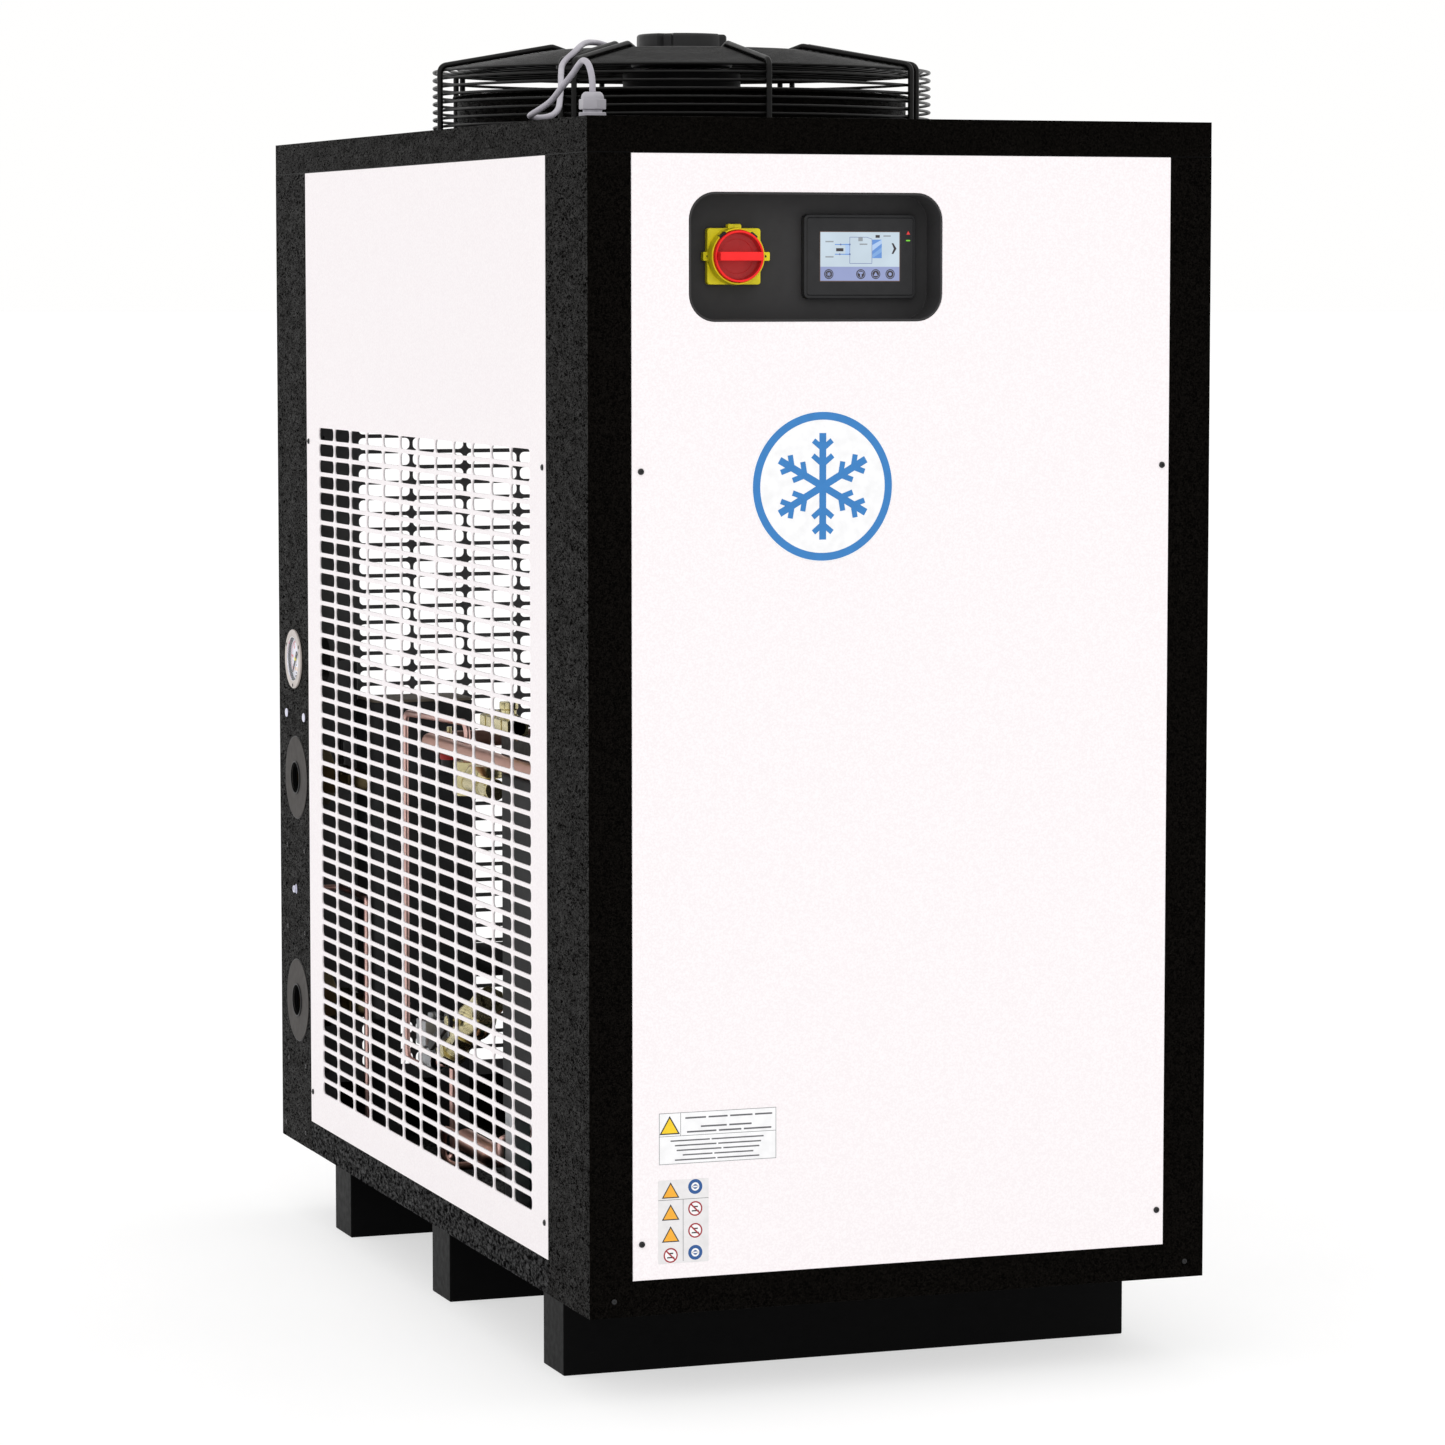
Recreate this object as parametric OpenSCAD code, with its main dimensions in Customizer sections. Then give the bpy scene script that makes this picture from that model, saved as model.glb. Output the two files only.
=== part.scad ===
// Refrigerated compressed-air dryer: an upright sheet-metal cabinet on three floor beams,
// with a condenser fan on the roof, a control recess in front and the air ports on the left.
// Millimetres, +Z up. The origin is on the floor under the middle of the cabinet;
// the control face looks along -Y and the air ports open along -X.
// Modules draw in cabinet coordinates: x from the left side, y from the front, z from the
// cabinet's underside.

/* [Cabinet] */
// Width of the cabinet
case_w = 732; // [725:1:760]
// Depth of the cabinet
case_d = 1292; // [1285:1:1320]
// Height of the cabinet, without feet and fan
case_h = 1300; // [1290:1:1330]
// Height of the floor beams
foot_h = 98; // [80:1:120]
// Depth of one floor beam, front to back
foot_d = 74; // [60:1:90]
// Distance of the beams' ends from the cabinet's sides
foot_inset = 24; // [10:1:40]
// Height of the roof cap's skirt
cap_h = 38.5; // [34:0.5:42]
// Width of the corner posts on the front and the rear
post_w = 49; // [45:1:55]
// Depth of the front posts on the sides
front_post_d = 146.4; // [140:0.2:150]
// Depth of the rear posts on the sides
rear_post_d = 145; // [143:1:150]
// Height of the bottom rails
rail_h = 38.5; // [34:0.5:44]
// Thickness of the frame's sheet
frame_t = 3; // [2.5:0.5:3]
// Thickness of the panels' sheet
skin_t = 2; // [1.5:0.5:2]

/* [Grille] */
// Columns of slots in a side panel
side_columns = 12; // [8:1:12]
// Columns of slots in the rear panel
rear_columns = 7; // [5:1:7]
// Rows of slots
grille_rows = 42; // [20:1:42]
// Distance between columns
column_pitch = 74; // [72:1:76]
// Distance between rows
row_pitch = 20.46; // [20:0.02:20.6]
// Length of a slot
slot_w = 69; // [60:1:70]
// Height of a slot
slot_h = 15; // [10:0.5:16]
// Height of the top row's upper edge
grille_top = 938.6; // [930:0.2:945]

/* [Controls] */
// Width of the control recess
recess_w = 294; // [290:1:300]
// Height of the control recess
recess_h = 139.5; // [136:0.5:145]
// Depth of the control recess
recess_depth = 40; // [38:1:44]
// Centre of the recess from the left side
recess_x = 262; // [255:1:270]
// Centre of the recess above the cabinet's underside
recess_z = 1150; // [1140:1:1155]
// Centre of the switch and the screen above the cabinet's underside
control_z = 1150.8; // [1145:0.1:1155]
// Diameter of the main switch's knob
knob_d = 56; // [50:1:58]
// Width of the touch screen's bezel
bezel_w = 131.5; // [125:0.5:134]
// Height of the touch screen's bezel
bezel_h = 91.7; // [88:0.1:95]

/* [Air ports] */
// Radius of the air ports' threaded bores
port_r = 19.5; // [18:0.1:20]
// Height of the upper air port
upper_port_z = 481; // [470:1:490]
// Height of the lower air port
lower_port_z = 189; // [180:1:200]
// Radius of the drain hose's bore
drain_r = 3; // [2:0.5:3]
// Height of the pressure gauge
gauge_z = 635; // [628:1:645]

/* [Fan] */
// Distance of the fan's axis from the front
fan_y = 738; // [730:1:745]
// Outer radius of the fan's ring
ring_r = 274; // [270:1:276]
// Radius at the blades' tips
blade_r = 262; // [250:1:264]
// Number of blades
blades = 6; // [4:1:7]
// Radius of the guard at its arms
guard_r = 308; // [306:1:310]
// Distance between the guard's wires
guard_pitch = 9.9; // [9:0.1:14]

/* [Hidden] */

$fn = 48;
post_h = case_h - cap_h;
lip_w = 26;
lip_t = 3;
panel_gap = 0.6;
port_y = case_d - 82;
gauge_y = case_d - 75;
drain_y = case_d - 74;
drain_z = 334;
port_zs = [upper_port_z, lower_port_z];
switch_x = recess_x - 84;
screen_x = recess_x + 62.4;
fan_x = case_w / 2;
roof_z = case_h;
flange_t = 3;
socket_depth = 32;
// Glands: the fan cable's on the roof, and the power cable's on the rear panel with its bore
gland_place = [36, 90];
power_place = [640, 1150];
power_r = 6.5;

// Screws that hold the panels, as [distance along the face, height]
front_screws = [for (x = [60, case_w - 58]) for (z = [79, 920]) [x, z]];
side_screws = [for (y = [front_post_d + 12.6, case_d - rear_post_d - 10]) for (z = [79, 920]) [y, z]];
rear_screws = front_screws;
// Screws in the left rear post, which hold the port bracket and the tray
post_screws = concat(
    [for (y = [port_y - 39, port_y + 45]) for (z = [107, 281.5, 388.4]) [y, z]],
    [[port_y - 36, 19], [port_y + 61, 19]]);
plug_places = [[port_y - 39, 562], [port_y + 46, 562]];
// Screws at the bottom of the front posts
foot_screws = [[28, 18], [case_w - 22.7, 18]];
screw_r = 2;
screw_hole_r = 2.3;

// Guard arm's centreline in its own plane, as [radius, height above the roof]
arm_t = 7;
wire_r = 1.75;
arm_rise = 81.5;
arm_line = [[guard_r, flange_t], [guard_r, arm_rise], [166, 106.5], [146, 100], [66, 100]];
double_gap = 16.8;
wire_drop = arm_t / 2 + wire_r + 0.05;
side_wires = 8;
side_wire_pitch = 9.6;
cage_r = guard_r - wire_drop;
motor_r = 62;
hub_r = 72;
shaft_r = 8;

// Route of the fan's cable, from the gland over the roof to the guard's arm and the motor
cable_d = 7;
cable_route = [[36, 90, 1312], [36, 90, 1328], [36, 90, 1338], [36, 98, 1351], [36, 120, 1362],
    [36, 143, 1356], [34, 165, 1344], [30, 186, 1333], [26, 205, 1322], [20, 224, 1314],
    [17, 244, 1309], [20, 262, 1307], [32, 280, 1306], [48, 297, 1307], [65, 318, 1311],
    [79, 342, 1319], [90, 370, 1331], [101, 400, 1346], [118, 452, 1362], [140, 512, 1377],
    [160, 532, 1391], [190, 584, 1404], [222, 640, 1408], [244, 670, 1407], [262, 691, 1404],
    [285, 704, 1401], [310, 714, 1400]];

// Centrelines of the pipes
suction_line = [[240, 524, 500], [240, 801, 500], [240, 801, 563], [52, 801, 563],
    [52, 180, 563], [52, 180, 80], [160, 180, 80], [160, 240, 80]];
hot_gas_line = [[72, 692, 547], [72, 692, 585], [72, 951, 585], [72, 951, 146], [72, 880, 146]];
liquid_line = [[66, 702, 85], [66, 775, 85], [66, 775, 36], [340, 775, 36],
    [340, 1240, 36], [430, 1240, 36], [430, 1240, 1009]];
feed_line = [[66, 548, 85], [66, 535, 85], [66, 535, 110], [98, 535, 110], [98, 505, 110],
    [98, 505, 147]];
discharge_line = [[160, 624, 80], [160, 690, 80], [450, 690, 80], [450, 690, 1009]];
drain_start = [[66, 743, 179], [66, 768, 165], [66, 790, 165]];
drain_line = [[66, 842, 165], [66, 858, 165], [104, 858, 165], [104, 858, 30], [60, 858, 30],
    [60, 1092, 30], [60, 1092, drain_z], [60, drain_y, drain_z], [18, drain_y, drain_z]];
insulated_line = [[200, 1130, 242], [340, 1130, 242], [340, 400, 242], [304, 400, 242]];
gauge_line = [[60, gauge_y, gauge_z], [82, gauge_y, gauge_z], [82, gauge_y, 530],
    [61, port_y, 530], [61, port_y, upper_port_z + 15.6]];
// Condenser: pitch and thickness of the fins, and places of the tubes
fin_pitch = 20;
fin_t = 1;
tube_r = 5;
coil_pitch = 80;
coil_front = 340;
coil_rear = 1140;
coil_end = 52;
valve_start = [66, 575, 270];
valve_tilt = -28.4;
valve_len = 190;

function unit(v) = v / norm(v);

// Smooth curve through a route's points, with the given number of steps between two of them
function spline_point(p0, p1, p2, p3, t) = 0.5 * (2 * p1 + (p2 - p0) * t
    + (2 * p0 - 5 * p1 + 4 * p2 - p3) * t * t + (3 * p1 - p0 - 3 * p2 + p3) * t * t * t);
function smooth(points, steps = 3) = let (n = len(points) - 1)
    [for (i = [0 : n]) for (k = [0 : i == n ? 0 : steps - 1])
        spline_point(points[max(i - 1, 0)], points[i], points[min(i + 1, n)],
            points[min(i + 2, n)], k / steps)];

module cabinet() { translate([-case_w / 2, -case_d / 2, foot_h]) children(); }

// Places on the four faces; local +Z points into the cabinet
module on_front(x, z) { translate([x, 0, z]) rotate([-90, 0, 0]) children(); }
module on_rear(x, z) { translate([x, case_d, z]) rotate([90, 0, 0]) children(); }
module on_left(y, z) { translate([0, y, z]) rotate([0, 90, 0]) children(); }
module on_right(y, z) { translate([case_w, y, z]) rotate([0, -90, 0]) children(); }

// Round tube of polygon section along a line of points
module tube(points, d, sides = 10) {
    n = len(points);
    dirs = [for (i = [0 : n - 1]) unit(points[min(i + 1, n - 1)] - points[max(i - 1, 0)])];
    frames = [for (i = 0, u = unit(cross(dirs[0], [0.31, 0.17, 0.93])); i < n;
        i = i + 1, u = i < n ? unit(u - (u * dirs[i]) * dirs[i]) : u) u];
    rings = [for (i = [0 : n - 1]) for (k = [0 : sides - 1])
        let (a = 360 * k / sides, v = cross(dirs[i], frames[i]))
        points[i] + d / 2 * (frames[i] * cos(a) + v * sin(a))];
    walls = [for (i = [0 : n - 2]) for (k = [0 : sides - 1])
        let (a = i * sides + k, b = i * sides + (k + 1) % sides)
        [a, a + sides, b + sides, b]];
    polyhedron(rings, concat([[for (k = [0 : sides - 1]) k]], walls,
        [[for (k = [sides - 1 : -1 : 0]) (n - 1) * sides + k]]));
}

// Pipe of straight lengths and soldered elbows along a line of points
module pipe(points, d) {
    n = len(points);
    for (i = [0 : n - 2]) {
        run = points[i + 1] - points[i];
        translate(points[i]) rotate([0, acos(run[2] / norm(run)), atan2(run[1], run[0])])
            cylinder(h = norm(run), r = d / 2);
    }
    for (i = [1 : n - 2]) translate(points[i]) sphere(r = d / 2 + 0.4);
}

// Rounded rectangle centred on the origin, made of straight sides and true arcs
module rounded(w, h, r) {
    square([w - 2 * r, h], center = true);
    square([w, h - 2 * r], center = true);
    for (x = [-1, 1], y = [-1, 1]) translate([x * (w / 2 - r), y * (h / 2 - r)]) circle(r);
}

module screw(head_r = 3.5, head_h = 1.8, shank = 8) {
    translate([0, 0, -head_h]) cylinder(h = head_h, r = head_r);
    cylinder(h = shank, r = screw_r);
}

module panel_screw_places() {
    for (p = front_screws) on_front(p[0], p[1]) children();
    for (p = side_screws) on_left(p[0], p[1]) children();
    for (p = side_screws) on_right(p[0], p[1]) children();
    for (p = rear_screws) on_rear(p[0], p[1]) children();
}

module screw_holes() {
    panel_screw_places() translate([0, 0, -1]) cylinder(h = 12, r = screw_hole_r);
}

// ---- Frame ----

module base_tray() color("#1b1b1b") cabinet()
    translate([frame_t, frame_t, 0]) cube([case_w - 2 * frame_t, case_d - 2 * frame_t, frame_t]);

module foot(y) color("#141414") cabinet() translate([foot_inset, y, -foot_h])
    difference() {
        cube([case_w - 2 * foot_inset, foot_d, foot_h]);
        translate([frame_t, frame_t, frame_t])
            cube([case_w - 2 * foot_inset - 2 * frame_t, foot_d - 2 * frame_t, foot_h]);
    }
module front_foot() foot(166);
module middle_foot() foot((case_d - foot_d) / 2 - 2);
module rear_foot() foot(case_d - foot_d - 172);

// Folded corner post: two flush faces, and lips that the panels are screwed to
module post(side_d) {
    difference() {
        union() {
            cube([post_w, frame_t, post_h]);
            cube([frame_t, side_d, post_h]);
            translate([post_w - frame_t, skin_t, rail_h])
                cube([lip_w + frame_t, lip_t, post_h - rail_h]);
            translate([skin_t, side_d - frame_t, rail_h])
                cube([lip_t, lip_w + frame_t, post_h - rail_h]);
        }
        children();
    }
}

module front_left_post() color("#1b1b1b") cabinet() difference() {
    post(front_post_d);
    screw_holes();
    on_front(foot_screws[0][0], foot_screws[0][1]) cylinder(h = 20, r = screw_hole_r, center = true);
}

module front_right_post() color("#1b1b1b") cabinet() difference() {
    translate([case_w, 0, 0]) mirror([1, 0, 0]) post(front_post_d);
    screw_holes();
    on_front(foot_screws[1][0], foot_screws[1][1]) cylinder(h = 20, r = screw_hole_r, center = true);
}

module rear_left_post() color("#1b1b1b") cabinet() difference() {
    translate([0, case_d, 0]) mirror([0, 1, 0]) post(rear_post_d);
    screw_holes();
    for (z = port_zs) on_left(port_y, z) cylinder(h = 20, r = 34, center = true);
    on_left(gauge_y, gauge_z) cylinder(h = 20, r = 33, center = true);
    on_left(drain_y, drain_z) cylinder(h = 20, r = 7.5, center = true);
    for (p = post_screws) on_left(p[0], p[1]) cylinder(h = 20, r = screw_hole_r, center = true);
    for (p = plug_places) on_left(p[0], p[1]) cylinder(h = 20, r = 3.2, center = true);
}

module rear_right_post() color("#1b1b1b") cabinet() difference() {
    translate([case_w, case_d, 0]) mirror([1, 0, 0]) mirror([0, 1, 0]) post(rear_post_d);
    screw_holes();
}

// Bottom rail along local +X, with its lip behind the panel
module rail(len) {
    cube([len, frame_t, rail_h]);
    translate([lip_w, skin_t, rail_h - frame_t]) cube([len - 2 * lip_w, lip_t, lip_w + frame_t]);
}
module front_rail() color("#1b1b1b") cabinet() translate([post_w, 0, 0])
    rail(case_w - 2 * post_w);
module rear_rail() color("#1b1b1b") cabinet() translate([case_w - post_w, case_d, 0])
    rotate([0, 0, 180]) rail(case_w - 2 * post_w);
module left_rail() color("#1b1b1b") cabinet() translate([0, case_d - rear_post_d, 0])
    rotate([0, 0, -90]) rail(case_d - front_post_d - rear_post_d);
module right_rail() color("#1b1b1b") cabinet() translate([case_w, front_post_d, 0])
    rotate([0, 0, 90]) rail(case_d - front_post_d - rear_post_d);

module roof_cap() color("#1b1b1b") cabinet() difference() {
    union() {
        difference() {
            translate([0, 0, post_h]) cube([case_w, case_d, cap_h]);
            translate([frame_t, frame_t, post_h - 1])
                cube([case_w - 2 * frame_t, case_d - 2 * frame_t, cap_h - frame_t + 1]);
        }
        for (y = [skin_t, case_d - skin_t - lip_t])
            translate([post_w + lip_w, y, post_h - lip_w])
                cube([case_w - 2 * (post_w + lip_w), lip_t, lip_w + frame_t]);
        for (x = [skin_t, case_w - skin_t - lip_t])
            translate([x, front_post_d + lip_w, post_h - lip_w])
                cube([lip_t, case_d - front_post_d - rear_post_d - 2 * lip_w, lip_w + frame_t]);
    }
    translate([fan_x, fan_y, post_h]) cylinder(h = 2 * cap_h, r = ring_r - 6, $fn = 96);
    translate([gland_place[0], gland_place[1], post_h]) cylinder(h = 2 * cap_h, r = 12.6);
}

// ---- Panels ----

// Flat panel in the XZ plane with a field of slots; its outer face is at y = 0
module panel_sheet(w, columns) {
    field = (columns - 1) * column_pitch + slot_w;
    difference() {
        translate([panel_gap, 0, rail_h + panel_gap])
            cube([w - 2 * panel_gap, skin_t, post_h - rail_h - 2 * panel_gap]);
        if (columns > 0)
            for (c = [0 : columns - 1], r = [0 : grille_rows - 1])
                translate([(w - field) / 2 + c * column_pitch, -1,
                    grille_top - slot_h - r * row_pitch])
                    cube([slot_w, skin_t + 2, slot_h]);
    }
}

module front_panel() color("#f3eef0") cabinet() difference() {
    translate([post_w, 0, 0]) panel_sheet(case_w - 2 * post_w, 0);
    on_front(recess_x, recess_z) translate([0, 0, -1])
        linear_extrude(10) rounded(recess_w, recess_h, 30);
    screw_holes();
}
module left_panel() color("#f3eef0") cabinet() difference() {
    translate([0, case_d - rear_post_d, 0]) rotate([0, 0, -90])
        panel_sheet(case_d - front_post_d - rear_post_d, side_columns);
    screw_holes();
}
module right_panel() color("#f3eef0") cabinet() difference() {
    translate([case_w, front_post_d, 0]) rotate([0, 0, 90])
        panel_sheet(case_d - front_post_d - rear_post_d, side_columns);
    screw_holes();
}
module rear_panel() color("#f3eef0") cabinet() difference() {
    translate([case_w - post_w, case_d, 0]) rotate([0, 0, 180])
        panel_sheet(case_w - 2 * post_w, rear_columns);
    on_rear(power_place[0], power_place[1]) cylinder(h = 10, r = 12.6, center = true);
    screw_holes();
}

module panel_screws() color("#101010") cabinet() panel_screw_places() screw();

module frame_screws() color("#101010") cabinet() {
    for (p = post_screws) on_left(p[0], p[1]) screw(3, 1.2, 9);
    for (p = foot_screws) on_front(p[0], p[1]) screw(3, 1.2, 9);
    for (a = [90, 210, 330]) on_left(gauge_y, gauge_z) rotate([0, 0, a + 30 - 120])
        translate([34.5, 0, -3.1]) cylinder(h = 0.6, r = 2);
}

module blind_plugs() color("#e8e6f0") cabinet() for (p = plug_places) on_left(p[0], p[1]) {
    translate([0, 0, -1.5]) cylinder(h = 1.5, r = 5.8);
    cylinder(h = 7, r = 3);
}

// ---- Controls ----

module control_recess() color("#303030") cabinet() on_front(recess_x, recess_z) difference() {
    union() {
        linear_extrude(recess_depth + 2) rounded(recess_w - 1, recess_h - 1, 29.5);
        translate([0, 0, skin_t]) linear_extrude(2) rounded(recess_w + 30, recess_h + 30, 30);
    }
    translate([0, 0, -1]) linear_extrude(recess_depth + 1) rounded(recess_w - 5, recess_h - 5, 27.5);
    translate([switch_x - recess_x, recess_z - control_z, 0]) cylinder(h = 60, r = 6.5);
    translate([screen_x - recess_x, recess_z - control_z, 0]) linear_extrude(60)
        square([bezel_w - 11, bezel_h - 9], center = true);
}

module switch_plate() color("#f2d21c") cabinet() on_front(switch_x, control_z) difference() {
    union() {
        translate([0, 0, recess_depth - 8]) linear_extrude(8) {
            rounded(61.5, 61, 3);
            translate([3, 0]) rounded(77, 14, 2);
            translate([0, -17]) square([14, 34], center = true);
        }
        translate([0, 0, recess_depth - 12]) cylinder(h = 5, r = 31);
    }
    cylinder(h = 60, r = 5.2);
}

module switch_knob() color("#e01b1b") cabinet() on_front(switch_x, control_z) {
    difference() {
        translate([0, 0, 7.5]) cylinder(h = recess_depth - 20, r = knob_d / 2);
        translate([0, 0, 6.5]) cylinder(h = 16.5, r = knob_d / 2 - 3);
    }
    translate([0, 0, 5.5]) linear_extrude(18.5) rounded(knob_d - 4, 9.6, 2);
}

module switch_shaft() color("#b8b8bc") cabinet() on_front(switch_x, control_z)
    translate([0, 0, recess_depth - 12.5]) cylinder(h = 70, r = 3.95);

module switch_body() color("#222222") cabinet() on_front(switch_x, control_z)
    translate([0, 0, recess_depth + 2]) difference() {
        linear_extrude(56) rounded(52, 52, 4);
        translate([0, 0, -1]) cylinder(h = 60, r = 4);
    }

module screen_bezel() color("#26262a") cabinet() on_front(screen_x, control_z) difference() {
    union() {
        translate([0, 0, recess_depth - 10]) linear_extrude(10) rounded(bezel_w, bezel_h, 6);
        translate([0, 0, recess_depth - 2]) linear_extrude(38)
            square([bezel_w - 12, bezel_h - 10], center = true);
    }
    translate([1, -1, recess_depth - 14]) linear_extrude(8) square([94.3, 54.5], center = true);
}

module screen_glass() color("#cfe0ef") cabinet() on_front(screen_x + 1, control_z + 1)
    translate([0, 0, recess_depth - 9]) linear_extrude(3) square([94.1, 54.3], center = true);

module status_lamps() color("#38c040") cabinet() on_front(screen_x + 56, control_z) {
    translate([0, -25.6, recess_depth - 10.6]) rotate([0, 0, 270]) cylinder(h = 0.6, r = 2.6, $fn = 3);
    translate([0, -17.6, recess_depth - 10.6]) linear_extrude(0.6) square([5, 1.6], center = true);
}

module electrical_box() color("#8e9296") cabinet() translate([90, 112, 1000]) difference() {
    cube([550, 168, 228]);
    translate([2, 2, 2]) cube([546, 170, 224]);
}

module badge() color("#2a62b8") cabinet() on_front(269, 901.5)
    translate([0, 0, -0.8]) cylinder(h = 0.8, r = 82, $fn = 96);

module labels() color("#e9e9ea") cabinet() {
    on_front(147.7, 193.5) translate([0, 0, -0.5]) linear_extrude(0.5) rounded(136.6, 57, 1.5);
    on_front(107.8, 102) translate([0, 0, -0.5]) linear_extrude(0.5) rounded(58.3, 92, 1.5);
}

// ---- Gauge and air ports ----

module gauge_case() color("#d8d0c4") cabinet() on_left(gauge_y, gauge_z) difference() {
    union() {
        translate([0, 0, -2.5]) cylinder(h = 2.5, r = 39);
        cylinder(h = 40, r = 31.5);
        cylinder(h = 60, r = 7);
    }
    translate([0, 0, -3]) cylinder(h = 9, r = 28.5);
}

module gauge_dial() color("#f4f4f6") cabinet() on_left(gauge_y, gauge_z)
    translate([0, 0, 2.7]) difference() {
        cylinder(h = 1.5, r = 28.4);
        translate([0, 0, -1]) cylinder(h = 4, r = 1);
    }

module gauge_needle() color("#151515") cabinet() on_left(gauge_y, gauge_z) rotate([0, 0, 40]) {
    translate([0, 0, 0.4]) cylinder(h = 1.8, r = 3.4);
    translate([0, 0, 2.1]) cylinder(h = 3, r = 0.95);
    translate([0, 0, 0.9]) linear_extrude(1) polygon([[-10, -2.4], [-10, 2.4], [0, 1.2],
        [23, 0.4], [23, -0.4], [0, -1.2]]);
}

module gauge_lens() color("#dfe8ee", 0.4) cabinet() on_left(gauge_y, gauge_z)
    translate([0, 0, -1.6]) cylinder(h = 1.2, r = 28.4);

module port_bracket() color("#3a3a3a") cabinet() difference() {
    translate([frame_t, port_y - 57, 92]) cube([frame_t, 133, 453]);
    for (z = port_zs) on_left(port_y, z) cylinder(h = 20, r = 33);
    on_left(drain_y, drain_z) cylinder(h = 20, r = 7.5);
    for (p = post_screws) on_left(p[0], p[1]) cylinder(h = 20, r = screw_hole_r);
}

// Discs that close the gaps round the air ports
module port_discs() color("#56524f") cabinet() for (z = port_zs) on_left(port_y, z)
    difference() {
        translate([0, 0, -2.5]) cylinder(h = 2.5, r = 54, $fn = 72);
        translate([0, 0, -3]) cylinder(h = 4, r = port_r + 1.5);
    }

module air_socket(z) color("#c9a85c") cabinet() on_left(port_y, z) difference() {
    union() {
        translate([0, 0, 0.3]) cylinder(h = 7, r = 32.5);
        translate([0, 0, 6.3]) cylinder(h = 37.7, r = 37, $fn = 6);
    }
    cylinder(h = 0.3 + socket_depth, r = port_r);
    cylinder(h = 60, r = 15);
}
module air_inlet_socket() air_socket(upper_port_z);
module air_outlet_socket() air_socket(lower_port_z);

module drain_outlet() color("#dfe6f2") cabinet() on_left(drain_y, drain_z) difference() {
    union() {
        translate([0, 0, -3]) cylinder(h = 4, r = 4.75);
        cylinder(h = 18, r = 7);
    }
    translate([0, 0, -4]) cylinder(h = 18, r = drain_r);
}

// ---- Fan ----

module at_fan() { translate([fan_x, fan_y, roof_z]) children(); }

module fan_ring() color("#161616") cabinet() at_fan() rotate_extrude($fn = 120)
    polygon([[ring_r - 3, 0], [guard_r + 10, 0], [guard_r + 10, flange_t], [ring_r, flange_t],
        [ring_r, 45], [ring_r + 6, 45], [ring_r + 6, 48], [ring_r - 3, 48]]);

module guard_side_wires() color("#111111") cabinet() at_fan()
    for (i = [0 : side_wires - 1], a = [0 : 45 : 315])
        translate([0, 0, arm_rise - 4.5 - i * side_wire_pitch]) rotate([0, 0, a + 0.2])
            rotate_extrude(angle = 44.6) translate([cage_r, 0]) circle(wire_r, $fn = 16);

// Height of a guard arm's centreline above the roof at radius r
function arm_height(r) = lookup(r, [for (p = [4 : -1 : 1]) arm_line[p]]);

module guard_top_wires() color("#111111") cabinet() at_fan()
    for (r = [86 : guard_pitch : guard_r - 10])
        translate([0, 0, arm_height(r) - wire_drop]) rotate_extrude()
            translate([r, 0]) circle(wire_r, $fn = 16);

// Straight stretch of an arm's outline
module stretch(a, b) {
    d = b - a;
    translate(a) rotate(atan2(d[1], d[0])) translate([0, -arm_t / 2]) square([norm(d), arm_t]);
}
module guard_arm() rotate([90, 0, 0]) linear_extrude(arm_t, center = true)
    for (i = [0 : len(arm_line) - 2]) {
        stretch(arm_line[i], arm_line[i + 1]);
        if (i > 0) translate(arm_line[i]) circle(arm_t / 2);
    }
module guard_arms() color("#111111") cabinet() at_fan() {
    for (a = [0 : 90 : 270]) rotate([0, 0, a]) guard_arm();
    for (a = [45 : 90 : 315], s = [-1, 1]) rotate([0, 0, a])
        translate([0, s * double_gap / 2, 0]) guard_arm();
}

module fan_motor() color("#1d1d1f") cabinet() at_fan() {
    translate([0, 0, 93.5]) cylinder(h = 3, r = 80);
    translate([0, 0, 83]) cylinder(h = 25, r = motor_r);
    translate([0, 0, 18]) cylinder(h = 66, r = shaft_r);
}

module motor_cap() color("#2a2a2c") cabinet() at_fan() translate([0, 0, 108]) difference() {
    rotate_extrude() polygon([[0, 0], [55, 0], [55, 12], [53.5, 14.7], [50, 16], [0, 16]]);
    for (a = [0 : 90 : 270]) rotate([0, 0, a + 48.5]) translate([46, -9.5, 3]) cube([14, 19, 14]);
}

module fan_impeller() color("#1a1a1c") cabinet() at_fan() difference() {
    union() {
        translate([0, 0, 16]) cylinder(h = 64, r = hub_r);
        for (i = [0 : blades - 1]) rotate([0, 0, i * 360 / blades]) intersection() {
            translate([0, 0, 5]) cylinder(h = 60, r = blade_r, $fn = 96);
            translate([hub_r - 4, 0, 31]) rotate([28, 0, 0])
                translate([0, -44, -2]) cube([blade_r, 88, 4]);
        }
    }
    translate([0, 0, 10]) cylinder(h = 80, r = shaft_r + 0.05);
}

// Cable gland that stands on a sheet at z = 0, with its locknut below
module gland(bore_r) difference() {
    union() {
        translate([0, 0, -15]) cylinder(h = 20, r = 12.4);
        translate([0, 0, -9]) cylinder(h = 6, r = 17, $fn = 6);
        cylinder(h = 6.4, r = 17.3);
        translate([0, 0, 5]) cylinder(h = 5, r = 12.4);
        translate([0, 0, 9.3]) cylinder(h = 11, r = 17.3, $fn = 6);
        rotate_extrude() polygon([[0, 20], [14.5, 20], [14.5, 23.5], [12.5, 27], [9, 28.2], [0, 28.2]]);
    }
    translate([0, 0, -20]) cylinder(h = 60, r = bore_r);
}
module cable_glands() color("#aaa7ae") cabinet() {
    translate([gland_place[0], gland_place[1], roof_z]) gland(cable_d / 2 + 0.05);
    on_rear(power_place[0], power_place[1]) mirror([0, 0, 1]) gland(power_r);
}

module fan_cable() color("#a5a0aa") cabinet() tube(smooth(cable_route), cable_d, 10);

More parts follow.
